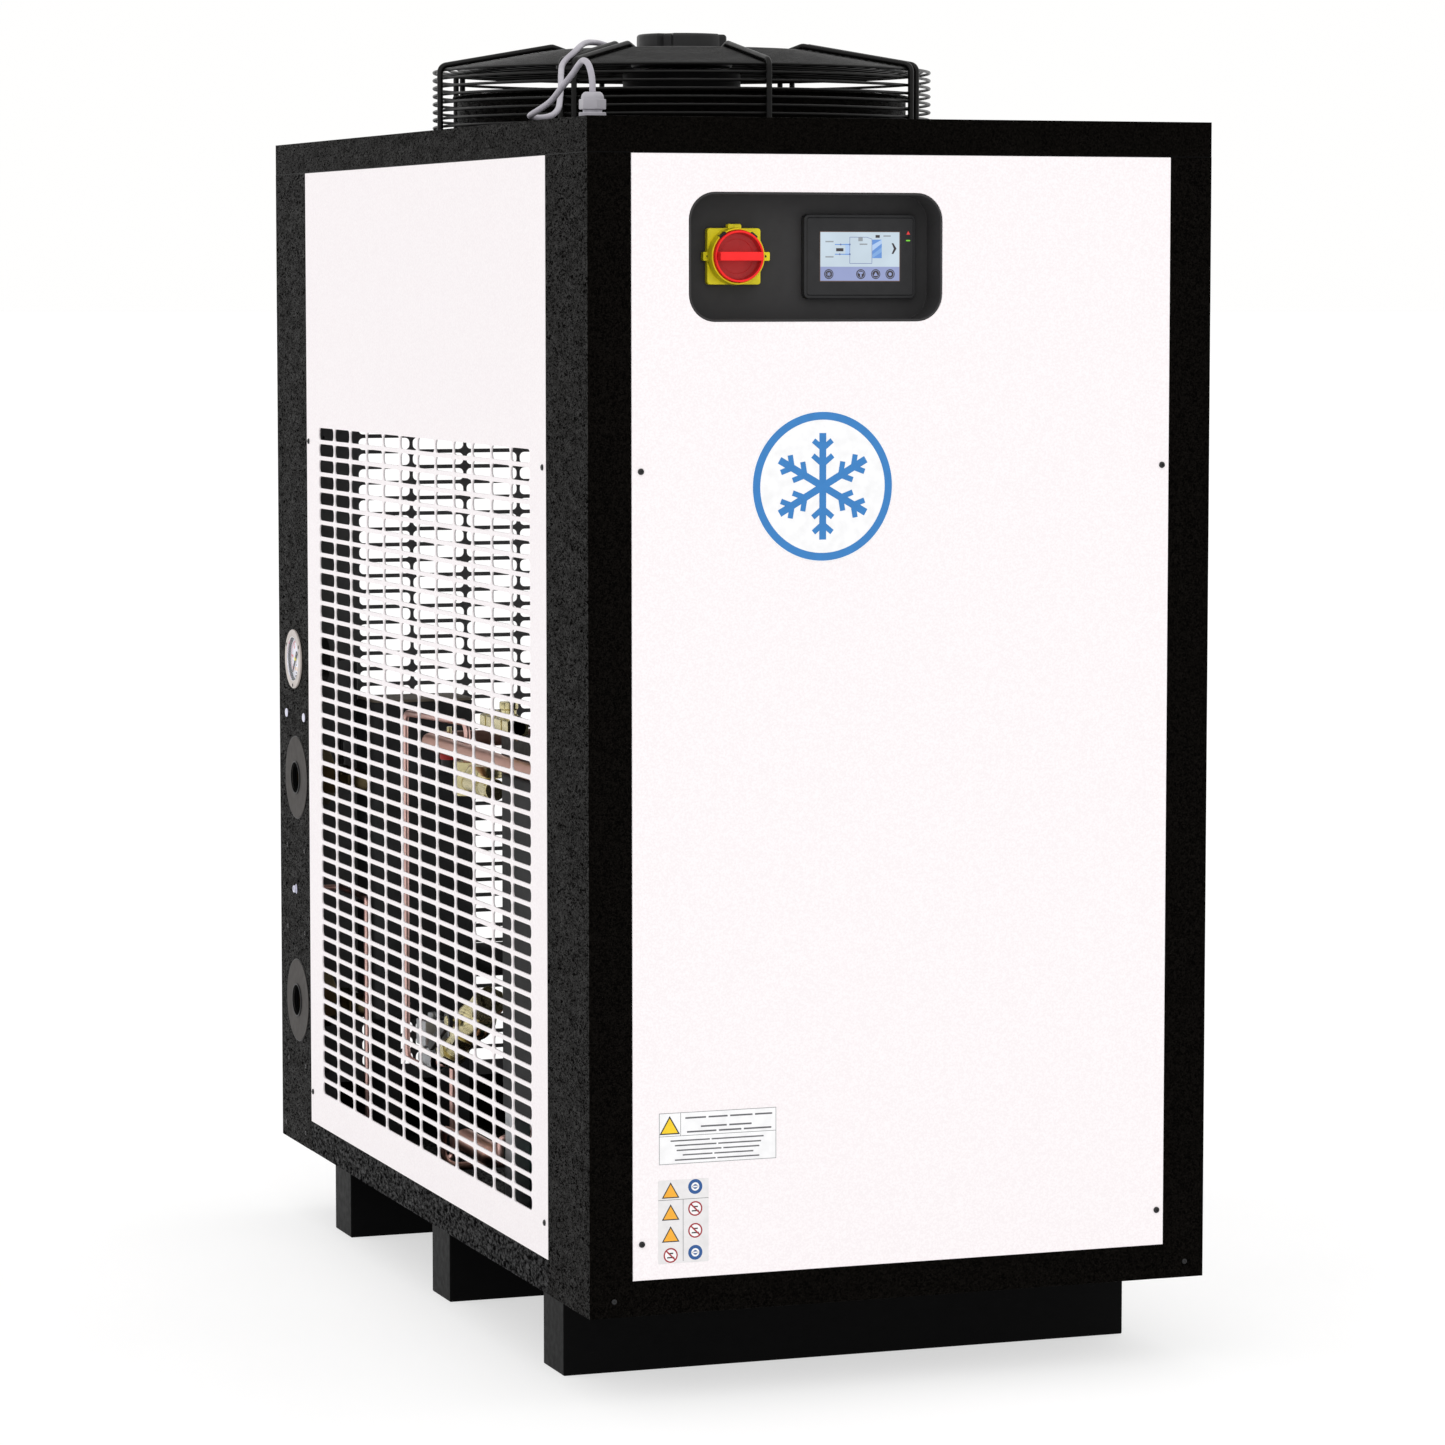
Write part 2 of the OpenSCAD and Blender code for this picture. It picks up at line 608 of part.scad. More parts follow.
// Strap round a pair of guard arms, which carries the cable
module cable_tie() color("#0e0e0e") cabinet() at_fan() rotate([0, 0, 225])
    translate([guard_r + 0.2, 0, 71]) {
        linear_extrude(4) difference() {
            rounded(12.4, 27, 4);
            rounded(10, 24.6, 3);
        }
        translate([3, 12.3, -1]) cube([6, 5, 6]);
    }

// ---- Cooling circuit inside the cabinet ----

module condenser() color("#b9bcc0") cabinet() {
    for (x = [5, case_w - 61]) translate([x, 150, 1003]) cube([56, case_d - 300, 7]);
    for (x = [56, case_w - 60]) translate([x, 300, 1009]) cube([4, 880, 44]);
    for (x = [60 + fin_pitch : fin_pitch : case_w - 61]) translate([x, 304, 1012])
        cube([fin_t, 872, 38]);
    for (y = [coil_front : coil_pitch : coil_rear]) translate([coil_end, y, 1031])
        rotate([0, 90, 0]) cylinder(h = case_w - 2 * coil_end, r = tube_r);
    for (y = [coil_front : 2 * coil_pitch : coil_rear - 1])
        translate([coil_end, y + coil_pitch / 2, 1031]) coil_bend(1);
    for (y = [coil_front + coil_pitch : 2 * coil_pitch : coil_rear - 1])
        translate([case_w - coil_end, y + coil_pitch / 2, 1031]) coil_bend(-1);
}
// Return bend between two of the coil's tubes; side is 1 on the left and -1 on the right
module coil_bend(side) rotate([0, 0, side * 90]) rotate_extrude(angle = 180)
    translate([coil_pitch / 2, 0]) circle(tube_r, $fn = 24);

module compressor() color("#15352b") cabinet() {
    translate([160, 240, 80]) rotate([-90, 0, 0]) {
        translate([0, 0, 0]) cylinder(h = 24, r1 = 40, r2 = 57);
        translate([0, 0, 24]) cylinder(h = 336, r = 57);
        translate([0, 0, 360]) cylinder(h = 24, r1 = 57, r2 = 40);
        for (z = [60 : 40 : 320]) translate([0, 0, z]) cylinder(h = 8, r = 60);
    }
    for (y = [285, 555]) translate([95, y, 3]) cube([130, 30, 50]);
}

module exchanger_block() color("#232325") cabinet() {
    translate([64, 215, 147]) cube([240, 309, 401]);
    for (x = [66, 278], y = [218, 494]) translate([x, y, 3]) cube([24, 24, 144]);
    translate([67, 395, 548]) cube([4, 135, 52]);
}

module separator() color("#191919") cabinet() {
    translate([78, 1090, 175]) linear_extrude(414) translate([64, 43]) rounded(128, 86, 14);
    for (x = [84, 176]) translate([x, 1100, 3]) cube([24, 64, 172]);
    pipe(insulated_line, 44);
}

// Elbows and unions that lead from the air sockets into the separator's side
module air_pipes() color("#c9a85c") cabinet() for (z = port_zs) translate([0, 0, z]) {
    translate([44, port_y, 0]) rotate([0, 90, 0]) cylinder(h = 17, r = 15.5);
    translate([61, port_y, 0]) sphere(r = 15.5);
    translate([61, port_y, 0]) rotate([90, 0, 0]) cylinder(h = 86, r = 15);
    translate([61, port_y - 22, 0]) rotate([90, 0, 0]) cylinder(h = 22, r = 16.5, $fn = 6);
    translate([61, port_y - 86, 0]) sphere(r = 15);
    translate([61, port_y - 86, 0]) rotate([0, 90, 0]) cylinder(h = 17, r = 15);
}

module copper_pipes() color("#c98b6b") cabinet() {
    pipe(suction_line, 20);
    pipe(hot_gas_line, 8);
    pipe(liquid_line, 10);
    pipe(feed_line, 8);
    pipe(discharge_line, 12);
    pipe(drain_start, 8);
    pipe(drain_line, 8);
    pipe(gauge_line, 6);
    // Filter drier
    translate([66, 548, 85]) {
        along(0, 16, 10);
        along(15, 124, 14);
        along(138, 16, 10);
    }
}

module refrigerant_valves() color("#c9b574") cabinet() {
    translate([72, 692, 505]) cylinder(h = 42, r = 20, $fn = 6);
    translate([72, 570, 522]) along(0, 110, 13);
    translate([72, 610, 534]) cylinder(h = 14, r1 = 26, r2 = 20);
    translate([50, 410, 610]) along(0, 112, 15, 6);
    translate([50, 445, 600]) cylinder(h = 38, r = 11);
}

// Local frame of the drain valve: +Y runs down its axis and -X points at the left panel
module at_valve() { translate(valve_start) rotate([valve_tilt, 0, 0]) children(); }
module along(y, len, r, sides = 48) {
    translate([0, y, 0]) rotate([-90, 0, 0]) cylinder(h = len, r = r, $fn = sides);
}

module drain_valve() color("#c9b574") cabinet() at_valve() difference() {
    union() {
        along(0, valve_len, 13);
        along(0, 28, 20, 6);
        along(40, 52, 24, 8);
        along(100, 24, 20, 6);
        along(valve_len - 26, 26, 19, 6);
        translate([-38, 66, 0]) rotate([0, 90, 0]) cylinder(h = 30, r = 7);
    }
    along(-1, valve_len - 2, 7);
}

module drain_solenoid() color("#b9bcc4") cabinet() translate([66, 790, 165]) {
    along(0, 52, 12);
    translate([0, 26, 0]) cylinder(h = 58, r = 8);
    translate([-17, 9, 18]) cube([34, 34, 32]);
}

module drain_lever() color("#1b1b1b") cabinet() at_valve() translate([0, 66, 0]) {
    difference() {
        translate([-37, 0, 0]) rotate([0, 90, 0]) cylinder(h = 5, r = 12);
        translate([-50, 0, 0]) rotate([0, 90, 0]) cylinder(h = 30, r = 7.05);
    }
    translate([-37, 9, -6]) cube([5, 80, 12]);
}

base_tray();
front_foot();
middle_foot();
rear_foot();
front_left_post();
front_right_post();
rear_left_post();
rear_right_post();
front_rail();
left_rail();
right_rail();
rear_rail();
roof_cap();
front_panel();
left_panel();
right_panel();
rear_panel();
panel_screws();
frame_screws();
blind_plugs();
control_recess();
switch_plate();
switch_knob();
switch_shaft();
switch_body();
screen_bezel();
screen_glass();
status_lamps();
electrical_box();
badge();
labels();
gauge_case();
gauge_dial();
gauge_needle();
gauge_lens();
port_bracket();
port_discs();
air_inlet_socket();
air_outlet_socket();
drain_outlet();
fan_ring();
guard_side_wires();
guard_top_wires();
guard_arms();
fan_motor();
motor_cap();
fan_impeller();
cable_glands();
fan_cable();
cable_tie();
condenser();
compressor();
exchanger_block();
separator();
air_pipes();
copper_pipes();
refrigerant_valves();
drain_valve();
drain_lever();
drain_solenoid();
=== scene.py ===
"""Refrigerated air dryer: finished pieces, materials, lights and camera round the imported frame."""
import math

import bmesh
import bpy
from mathutils import Matrix, Vector


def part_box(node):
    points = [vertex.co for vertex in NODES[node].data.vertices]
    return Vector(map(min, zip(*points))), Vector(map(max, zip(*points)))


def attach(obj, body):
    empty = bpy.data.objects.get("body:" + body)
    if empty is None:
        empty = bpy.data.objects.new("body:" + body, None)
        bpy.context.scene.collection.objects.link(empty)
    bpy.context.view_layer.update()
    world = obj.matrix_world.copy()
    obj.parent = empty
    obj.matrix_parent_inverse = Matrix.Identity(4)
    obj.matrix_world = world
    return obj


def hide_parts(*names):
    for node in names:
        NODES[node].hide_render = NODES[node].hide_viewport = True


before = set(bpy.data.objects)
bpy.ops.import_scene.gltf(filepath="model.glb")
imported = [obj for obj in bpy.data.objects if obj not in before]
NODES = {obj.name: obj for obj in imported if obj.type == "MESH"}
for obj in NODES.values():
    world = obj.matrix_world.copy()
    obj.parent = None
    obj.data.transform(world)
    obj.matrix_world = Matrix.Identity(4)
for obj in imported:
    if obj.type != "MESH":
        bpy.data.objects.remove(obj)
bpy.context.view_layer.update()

# ---------------------------------------------------------------- places and sizes
# Cabinet coordinates are in millimetres: x from the left side, y from the front and z from the
# cabinet's underside. The frame gives where that corner is.
MM = 0.001
roof_low, roof_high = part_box("roof_cap")
tray_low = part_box("base_tray")[0]
CORNER = Vector((roof_low.x, roof_low.y, tray_low.z))
WIDTH = (roof_high.x - roof_low.x) / MM
DEPTH = (roof_high.y - roof_low.y) / MM
ROOF = (roof_high.z - CORNER.z) / MM
# Height of the roof cap, width of a post, depths of the front and rear posts, line of the air ports,
# and the rear panel's cable gland (across and up)
CAP_H = 38.5
POST_W = 49
FRONT_POST_D = 146.4
REAR_POST_D = 145
PORT_Y = DEPTH - 82
POWER_GLAND = (640, 1150)


def at(x, y, z):
    """A place in cabinet millimetres as a point in the row frame."""
    return CORNER + Vector((x, y, z)) * MM


def place(point):
    """A point of the row frame in cabinet millimetres."""
    return (Vector(point) - CORNER) / MM


# Axes of a piece drawn on a face: across, up and outward, as a viewer in front of it sees them
FACES = {
    "front": ((1, 0, 0), (0, 0, 1), (0, -1, 0)),
    "left": ((0, -1, 0), (0, 0, 1), (-1, 0, 0)),
    "rear": ((-1, 0, 0), (0, 0, 1), (0, 1, 0)),
    "right": ((0, 1, 0), (0, 0, 1), (1, 0, 0)),
    "top": ((1, 0, 0), (0, 1, 0), (0, 0, 1)),
}


def on(face, x, y, z):
    """Matrix that lays millimetre drawings on a face of the cabinet, with their origin at x, y, z."""
    across, up, out = (Vector(v) for v in FACES[face])
    turn = Matrix((across, up, out)).transposed().to_4x4()
    return Matrix.Translation(at(x, y, z)) @ turn @ Matrix.Scale(MM, 4)


HOME = on("top", 0, 0, 0)

# ---------------------------------------------------------------- materials


class Paint:
    """A principled material and the nodes that vary it. Texture places are in millimetres."""

    def __init__(self, name, color, roughness, metallic=0.0, specular=0.5, stretch=(1, 1, 1), **sockets):
        self.material = bpy.data.materials.new(name)
        self.material.use_nodes = True
        self.tree = self.material.node_tree
        self.shader = self.tree.nodes["Principled BSDF"]
        self.color = (*color, 1)
        self.roughness = roughness
        self.set("Base Color", self.color)
        self.set("Roughness", roughness)
        self.set("Metallic", metallic)
        self.set("Specular IOR Level", specular)
        for socket, value in sockets.items():
            self.set(socket.replace("_", " "), value)
        coordinates = self.tree.nodes.new("ShaderNodeTexCoord")
        mapping = self.tree.nodes.new("ShaderNodeMapping")
        mapping.inputs["Scale"].default_value = [s / MM for s in stretch]
        self.link(coordinates.outputs["Object"], mapping.inputs["Vector"])
        self.vector = mapping.outputs["Vector"]

    def set(self, socket, value):
        self.shader.inputs[socket].default_value = value

    def link(self, output, socket):
        self.tree.links.new(output, socket)

    def noise(self, size, detail=2.0, roughness=0.5, distortion=0.0):
        """Cloudy noise whose features are about size millimetres wide."""
        node = self.tree.nodes.new("ShaderNodeTexNoise")
        node.inputs["Scale"].default_value = 1 / size
        node.inputs["Detail"].default_value = detail
        node.inputs["Roughness"].default_value = roughness
        node.inputs["Distortion"].default_value = distortion
        self.link(self.vector, node.inputs["Vector"])
        return node.outputs["Fac"]

    def span(self, value, low, high, to_low=0.0, to_high=1.0):
        """value's stretch from low to high, carried over to a new stretch and held there."""
        node = self.tree.nodes.new("ShaderNodeMapRange")
        node.inputs["From Min"].default_value = low
        node.inputs["From Max"].default_value = high
        node.inputs["To Min"].default_value = to_low
        node.inputs["To Max"].default_value = to_high
        self.link(value, node.inputs["Value"])
        return node.outputs["Result"]

    def blend(self, a, b, factor=0.5):
        """a and b mixed by factor."""
        node = self.tree.nodes.new("ShaderNodeMix")
        node.inputs["Factor"].default_value = factor
        self.link(a, node.inputs["A"])
        self.link(b, node.inputs["B"])
        return node.outputs["Result"]

    def tint(self, value, color, low=0.4, high=0.6, amount=1.0):
        """Turns the base colour towards another one where value is high."""
        node = self.tree.nodes.new("ShaderNodeMix")
        node.data_type = "RGBA"
        node.inputs["A"].default_value = self.color
        node.inputs["B"].default_value = (*color, 1)
        self.link(self.span(value, low, high, 0, amount), node.inputs["Factor"])
        self.link(node.outputs["Result"], self.shader.inputs["Base Color"])
        return self

    def gloss(self, value, change, low=0.35, high=0.65):
        """Varies the roughness by change up and down."""
        low_end, high_end = self.roughness - change, self.roughness + change
        self.link(self.span(value, low, high, low_end, high_end), self.shader.inputs["Roughness"])
        return self

    def bump(self, value, height, strength=1.0):
        """Raises the surface by up to height millimetres."""
        node = self.tree.nodes.new("ShaderNodeBump")
        node.inputs["Distance"].default_value = height * MM
        node.inputs["Strength"].default_value = strength
        self.link(value, node.inputs["Height"])
        self.link(node.outputs["Normal"], self.shader.inputs["Normal"])
        return self


def powder_black(name, size):
    """Wrinkled black powder coat. Its ridges are about size millimetres apart, glossier than the
    valleys, painted lighter than the valleys as painted shade in the wrinkles, and longer from front to rear
    than they are high."""
    paint = Paint(name, (0.0011, 0.001, 0.0009), 0.42, specular=0.02, stretch=(1, 0.42, 1))
    ridges = paint.noise(size, 1.5, 0.5, 1.4)
    # Painted shade: the valleys between the ridges get the darker colour.
    paint.tint(ridges, (0.0036, 0.003, 0.0024), 0.38, 0.66)
    paint.set("Specular Tint", (1.0, 0.92, 0.87, 1))
    paint.link(paint.span(ridges, 0.4, 0.62, 0.0, 0.028), paint.shader.inputs["Specular IOR Level"])
    paint.gloss(paint.noise(14, 2), 0.05)
    return paint.bump(ridges, size * 0.2, 0.9).material


def powder_speckle():
    """Coarser, lighter wrinkled coat of the side rails."""
    paint = Paint("powder_speckle", (0.002, 0.002, 0.0021), 0.46, specular=0.02, stretch=(1, 0.5, 1))
    grain = paint.noise(4.2, 3, 0.65, 0.6)
    paint.tint(grain, (0.03, 0.03, 0.031), 0.5, 0.66)
    paint.link(paint.span(grain, 0.42, 0.6, 0.0, 0.03), paint.shader.inputs["Specular IOR Level"])
    paint.gloss(paint.noise(9, 2), 0.06)
    return paint.bump(grain, 0.8, 0.9).material


def panel_white():
    """White powder coat with a faint pink cast and fine orange peel."""
    paint = Paint("panel_white", (0.87, 0.818, 0.834), 0.45, specular=0.25)
    paint.tint(paint.noise(2.2, 2, 0.6), (0.92, 0.874, 0.888), 0.42, 0.6)
    paint.gloss(paint.noise(30, 2), 0.05)
    return paint.bump(paint.noise(1.6, 2, 0.55), 0.1, 0.55).material


def panel_inside_shade():
    """Dark grey painted shade on the inner faces of the panels, standing for the shade inside the cabinet.
    """
    paint = Paint("panel_inside_shade", (0.1, 0.1, 0.102), 0.6, specular=0.25)
    paint.tint(paint.noise(40, 3), (0.12, 0.12, 0.122), 0.4, 0.65)
    return paint.bump(paint.noise(1.8, 2), 0.08, 0.5).material


def cut_edge():
    """Grey band on the inner part of each slot's cut edge."""
    paint = Paint("cut_edge", (0.3, 0.285, 0.29), 0.6)
    paint.tint(paint.noise(5, 2), (0.36, 0.35, 0.35))
    return paint.bump(paint.noise(1, 2), 0.05).material


def moulded(name, color, roughness=0.42, specular=0.4, grain=0.7, shade=0.86):
    """Injection-moulded plastic with a fine spark-eroded grain."""
    paint = Paint(name, color, roughness, specular=specular)
    paint.tint(paint.noise(18, 3), [c * shade for c in color], 0.4, 0.7)
    paint.gloss(paint.noise(9, 2), 0.04)
    return paint.bump(paint.noise(grain, 2, 0.6), 0.04, 0.5).material


def metal(name, color, roughness, stretch=(1, 1, 1), tarnish=0.75, spot=14):
    """Bare metal with fine machining marks and uneven tarnish."""
    paint = Paint(name, color, roughness, metallic=1.0, stretch=stretch)
    paint.tint(paint.noise(spot, 2, 0.5), [c * tarnish for c in color], 0.42, 0.72)
    paint.gloss(paint.noise(spot, 2), 0.04)
    return paint.bump(paint.noise(0.5, 2), 0.02, 0.5).material


def foam(name, color):
    """Closed-cell insulation foam."""
    paint = Paint(name, color, 0.68, specular=0.22)
    paint.tint(paint.noise(60, 3), [c * 1.7 for c in color], 0.45, 0.75)
    return paint.bump(paint.blend(paint.noise(1.6, 2), paint.noise(22, 2), 0.5), 0.35, 0.7).material


def glowing(name, color, strength):
    """Lit area of the screen or a lamp, with a very slight unevenness."""
    paint = Paint(name, (0.02, 0.02, 0.022), 0.3, specular=0.3, Emission_Strength=strength)
    node = paint.tree.nodes.new("ShaderNodeMix")
    node.data_type = "RGBA"
    node.inputs["A"].default_value = (*color, 1)
    node.inputs["B"].default_value = (*[c * 0.93 for c in color], 1)
    paint.link(paint.span(paint.noise(30, 1), 0.35, 0.65), node.inputs["Factor"])
    paint.link(node.outputs["Result"], paint.shader.inputs["Emission Color"])
    return paint.material


def printed(name, color):
    """Printed film."""
    paint = Paint(name, color, 0.35, specular=0.4)
    paint.tint(paint.noise(12, 2), [c * 0.93 for c in color], 0.4, 0.7)
    return paint.bump(paint.noise(0.8, 2), 0.015, 0.4).material


def clear_window():
    """Clear window of the gauge."""
    paint = Paint("clear_window", (0.95, 0.97, 1.0), 0.03, Alpha=0.05, specular=0.4)
    return paint.bump(paint.noise(30, 1), 0.02, 0.3).material


POWDER = powder_black("powder_black", 2.5)
POWDER_FINE = powder_black("powder_fine", 1.8)
SPECKLE = powder_speckle()
WHITE = panel_white()
# Painted shade for every inner face of the sheets.
INSIDE_SHADE = panel_inside_shade()
EDGE = cut_edge()
FOOT = moulded("foot_coat", (0.002, 0.002, 0.0021), 0.45, 0.04, 1.5)
WIRE = moulded("guard_coat", (0.004, 0.0038, 0.0036), 0.35, 0.2, 2.5)
SCREW = moulded("black_screw", (0.011, 0.011, 0.012), 0.35, 0.35)
RECESS = moulded("recess_coat", (0.044, 0.043, 0.044), 0.6, 0.1, 1.1, 0.94)
BEZEL = moulded("bezel_plastic", (0.024, 0.024, 0.0255), 0.42, 0.2, 0.5)
YELLOW = moulded("yellow_plastic", (0.82, 0.7, 0.012), 0.36, 0.25)
RED = moulded("red_plastic", (0.98, 0.026, 0.027), 0.38, 0.15)
DARK_RED = moulded("dark_red_plastic", (0.45, 0.03, 0.031), 0.4, 0.2)
GREY_PLASTIC = moulded("gland_nylon", (0.42, 0.405, 0.445), 0.38, 0.35, 1.2, 0.93)
SHEATH = moulded("cable_sheath", (0.42, 0.40, 0.45), 0.42, 0.3, 1.4, 0.92)
BLACK_PLASTIC = moulded("black_plastic", (0.012, 0.012, 0.013), 0.45, 0.3)
DISC = moulded("port_disc", (0.066, 0.061, 0.058), 0.55, 0.05, 1.2, 0.95)
RUBBER = moulded("rubber_grey", (0.1, 0.11, 0.12), 0.5, 0.3)
PALE = moulded("pale_plastic", (0.72, 0.72, 0.86), 0.35, 0.4)
CREAM = moulded("gauge_paint", (0.52, 0.465, 0.435), 0.4, 0.4, 1.0, 0.92)
GREEN = moulded("compressor_paint", (0.012, 0.06, 0.048), 0.3, 0.5, 3.0, 0.8)
COPPER = metal("copper", (0.62, 0.35, 0.28), 0.36, tarnish=0.88, spot=50)
# Lighter copy of the copper: painted light on the small 8 mm pipes.
COPPER_LIT = metal("copper_painted_light", (0.97, 0.62, 0.56), 0.32, tarnish=0.9, spot=50)
BRASS = metal("brass", (0.72, 0.64, 0.36), 0.24, tarnish=0.88, spot=40)
# Darkened copy of the brass: painted shade for the air pipes and port sockets inside the cabinet.
BRASS_SHADED = metal("brass_painted_shade", (0.13, 0.1, 0.05), 0.35, tarnish=0.7, spot=20)
STEEL = metal("steel", (0.56, 0.57, 0.59), 0.3)
CHROME = metal("chrome", (0.78, 0.78, 0.8), 0.14, tarnish=0.92)
ALUMINIUM = metal("aluminium", (0.7, 0.71, 0.73), 0.36, stretch=(1, 0.1, 1))
ZINC = metal("zinc_sheet", (0.5, 0.51, 0.53), 0.42, tarnish=0.85)
MOTOR = moulded("motor_paint", (0.012, 0.012, 0.0125), 0.42, 0.3, 1.6)
BLADE = moulded("blade_paint", (0.004, 0.004, 0.0042), 0.45, 0.1, 2.2)
FOAM = foam("foam_black", (0.019, 0.0195, 0.0205))
FOAM_GREY = foam("foam_grey", (0.024, 0.024, 0.025))
FOAM_TOP = foam("foam_top", (0.13, 0.11, 0.085))
PLATE = moulded("plate_coat", (0.035, 0.032, 0.029), 0.6, 0.15, 1.2)
PRINT_WHITE = printed("print_white", (0.9, 0.9, 0.91))
PRINT_GREY = printed("print_grey", (0.12, 0.12, 0.13))
PRINT_BLACK = printed("print_black", (0.02, 0.02, 0.02))
PRINT_BLUE = printed("print_blue", (0.03, 0.2, 0.52))
PRINT_RED = printed("print_red", (0.75, 0.03, 0.03))
PRINT_ORANGE = printed("print_orange", (0.9, 0.42, 0.03))
WINDOW = clear_window()
DIAL = printed("dial_print", (0.86, 0.86, 0.95))
PRINT_PALE = printed("print_pale", (0.78, 0.765, 0.77))
PRINT_NAVY = printed("print_navy", (0.017, 0.09, 0.29))
PRINT_CRIMSON = printed("print_crimson", (0.35, 0.02, 0.03))
PRINT_YELLOW = printed("print_yellow", (0.92, 0.62, 0.015))
LAMP_GREEN = glowing("lamp_green", (0.2, 0.72, 0.03), 1.0)
LAMP_RED = glowing("lamp_red", (0.8, 0.03, 0.03), 1.0)
SCREEN_PALE = glowing("screen_pale", (0.58, 0.69, 0.78), 1.0)
SCREEN_BAR = glowing("screen_bar", (0.3, 0.35, 0.6), 1.0)
SCREEN_DARK = glowing("screen_dark", (0.03, 0.022, 0.024), 1.0)
SCREEN_LINE = glowing("screen_line", (0.13, 0.17, 0.38), 1.0)
SCREEN_BLUE = glowing("screen_blue", (0.13, 0.3, 0.7), 1.0)
SCREEN_MID = glowing("screen_mid", (0.22, 0.42, 0.78), 1.0)
SCREEN_LIGHT = glowing("screen_light", (0.45, 0.62, 0.9), 1.0)
SCREEN_GREY = glowing("screen_grey", (0.3, 0.33, 0.36), 1.0)
SCREEN_RIM = glowing("screen_rim", (0.17, 0.1, 0.075), 1.0)

# ---------------------------------------------------------------- mesh helpers, in millimetres


def circle(radius, steps=48, start=0.0):
    """Function that gives a circle's points, drawn in by an inset."""
    def points(inset=0.0):
        turn = [start + 2 * math.pi * k / steps for k in range(steps)]
        return [((radius - inset) * math.cos(a), (radius - inset) * math.sin(a)) for a in turn]
    return points


def box_outline(width, height, radius=1.0, steps=5, x=0.0, y=0.0):
    """Function that gives a rounded rectangle's points, drawn in by an inset."""
    def points(inset=0.0):
        round_r = max(radius - inset, 0.02)
        w, h = width / 2 - inset - round_r, height / 2 - inset - round_r
        result = []
        for quarter, (sx, sy) in enumerate(((1, 1), (-1, 1), (-1, -1), (1, -1))):
            for k in range(steps + 1):
                a = math.pi / 2 * (quarter + k / steps)
                result.append((x + sx * w + round_r * math.cos(a), y + sy * h + round_r * math.sin(a)))
        return result
    return points


def ring_of(bm, points, z, matrix=None):
    """Vertices of one outline at height z."""
    matrix = matrix or Matrix.Identity(4)
    return [bm.verts.new(matrix @ Vector((p[0], p[1], z))) for p in points]


def skin(bm, rings, mat=0, caps=(True, True)):
    """Faces between neighbouring rings of vertices, with their first and last ring closed."""
    faces = []
    for lower, upper in zip(rings, rings[1:]):
        count = len(lower)
        for k in range(count):
            n = (k + 1) % count
            faces.append(bm.faces.new((lower[k], lower[n], upper[n], upper[k])))
    if caps[0]:
        faces.append(bm.faces.new(rings[0][::-1]))
    if caps[1]:
        faces.append(bm.faces.new(rings[-1]))
    for face in faces:
        face.material_index = mat
    return faces


def slab(bm, outline, low, high, edge=0.4, mat=0, matrix=None, steps=3, edges=(True, True)):
    """Solid slab of an outline, with its edges rounded by edge at the ends that edges names."""
    quarter = [math.pi / 2 * k / steps for k in range(steps + 1)]
    lower = [(low + edge * (1 - math.sin(a)), edge * (1 - math.cos(a))) for a in reversed(quarter)]
    upper = [(high - edge * (1 - math.sin(a)), edge * (1 - math.cos(a))) for a in quarter]
    levels = (lower if edges[0] else [(low, 0.0)]) + (upper if edges[1] else [(high, 0.0)])
    rings = [ring_of(bm, outline(inset), z, matrix) for z, inset in levels]
    return skin(bm, rings, mat)


def revolve(bm, profile, steps=64, mat=0, matrix=None, closed=False):
    """Surface of revolution round local z of a profile of (radius, height), with points on the axis
    joined. A closed profile makes a ring."""
    matrix = matrix or Matrix.Identity(4)
    rows = []
    for radius, z in profile:
        if radius < 1e-6:
            rows.append([bm.verts.new(matrix @ Vector((0, 0, z)))])
        else:
            turn = [2 * math.pi * k / steps for k in range(steps)]
            rows.append([bm.verts.new(matrix @ Vector((radius * math.cos(a), radius * math.sin(a), z)))
                         for a in turn])
    pairs = list(zip(rows, rows[1:])) + ([(rows[-1], rows[0])] if closed else [])
    for a, b in pairs:
        for k in range(steps):
            n = (k + 1) % steps
            corners = [a[0] if len(a) == 1 else a[k]]
            if len(a) > 1:
                corners.append(a[n])
            if len(b) > 1:
                corners.append(b[n])
            corners.append(b[0] if len(b) == 1 else b[k])
            if len(corners) > 2:
                bm.faces.new(corners).material_index = mat


def sweep(bm, points, radius, sides=12, mat=0, closed=False):
    """Round tube along points. radius is one number, or one for each point."""
    points = [Vector(p) for p in points]
    count = len(points)
    radii = radius if isinstance(radius, (list, tuple)) else [radius] * count
    ways = []
    for k in range(count):
        before = points[(k - 1) % count] if closed else points[max(k - 1, 0)]
        after = points[(k + 1) % count] if closed else points[min(k + 1, count - 1)]
        ways.append((after - before).normalized())
    side = ways[0].orthogonal().normalized()
    rings = []
    for point, way, r in zip(points, ways, radii):
        side = (side - way * side.dot(way)).normalized()
        other = way.cross(side)
        turn = [2 * math.pi * k / sides for k in range(sides)]
        rings.append([bm.verts.new(point + (side * math.cos(a) + other * math.sin(a)) * r) for a in turn])
    if closed:
        rings.append(rings[0])
    return skin(bm, rings, mat, caps=(not closed, not closed))


def hoop(bm, radius, z, wire, steps=144, sides=10):
    """Wire ring round a vertical axis."""
    turn = [2 * math.pi * k / steps for k in range(steps)]
    sweep(bm, [(radius * math.cos(a), radius * math.sin(a), z) for a in turn], wire, sides, closed=True)


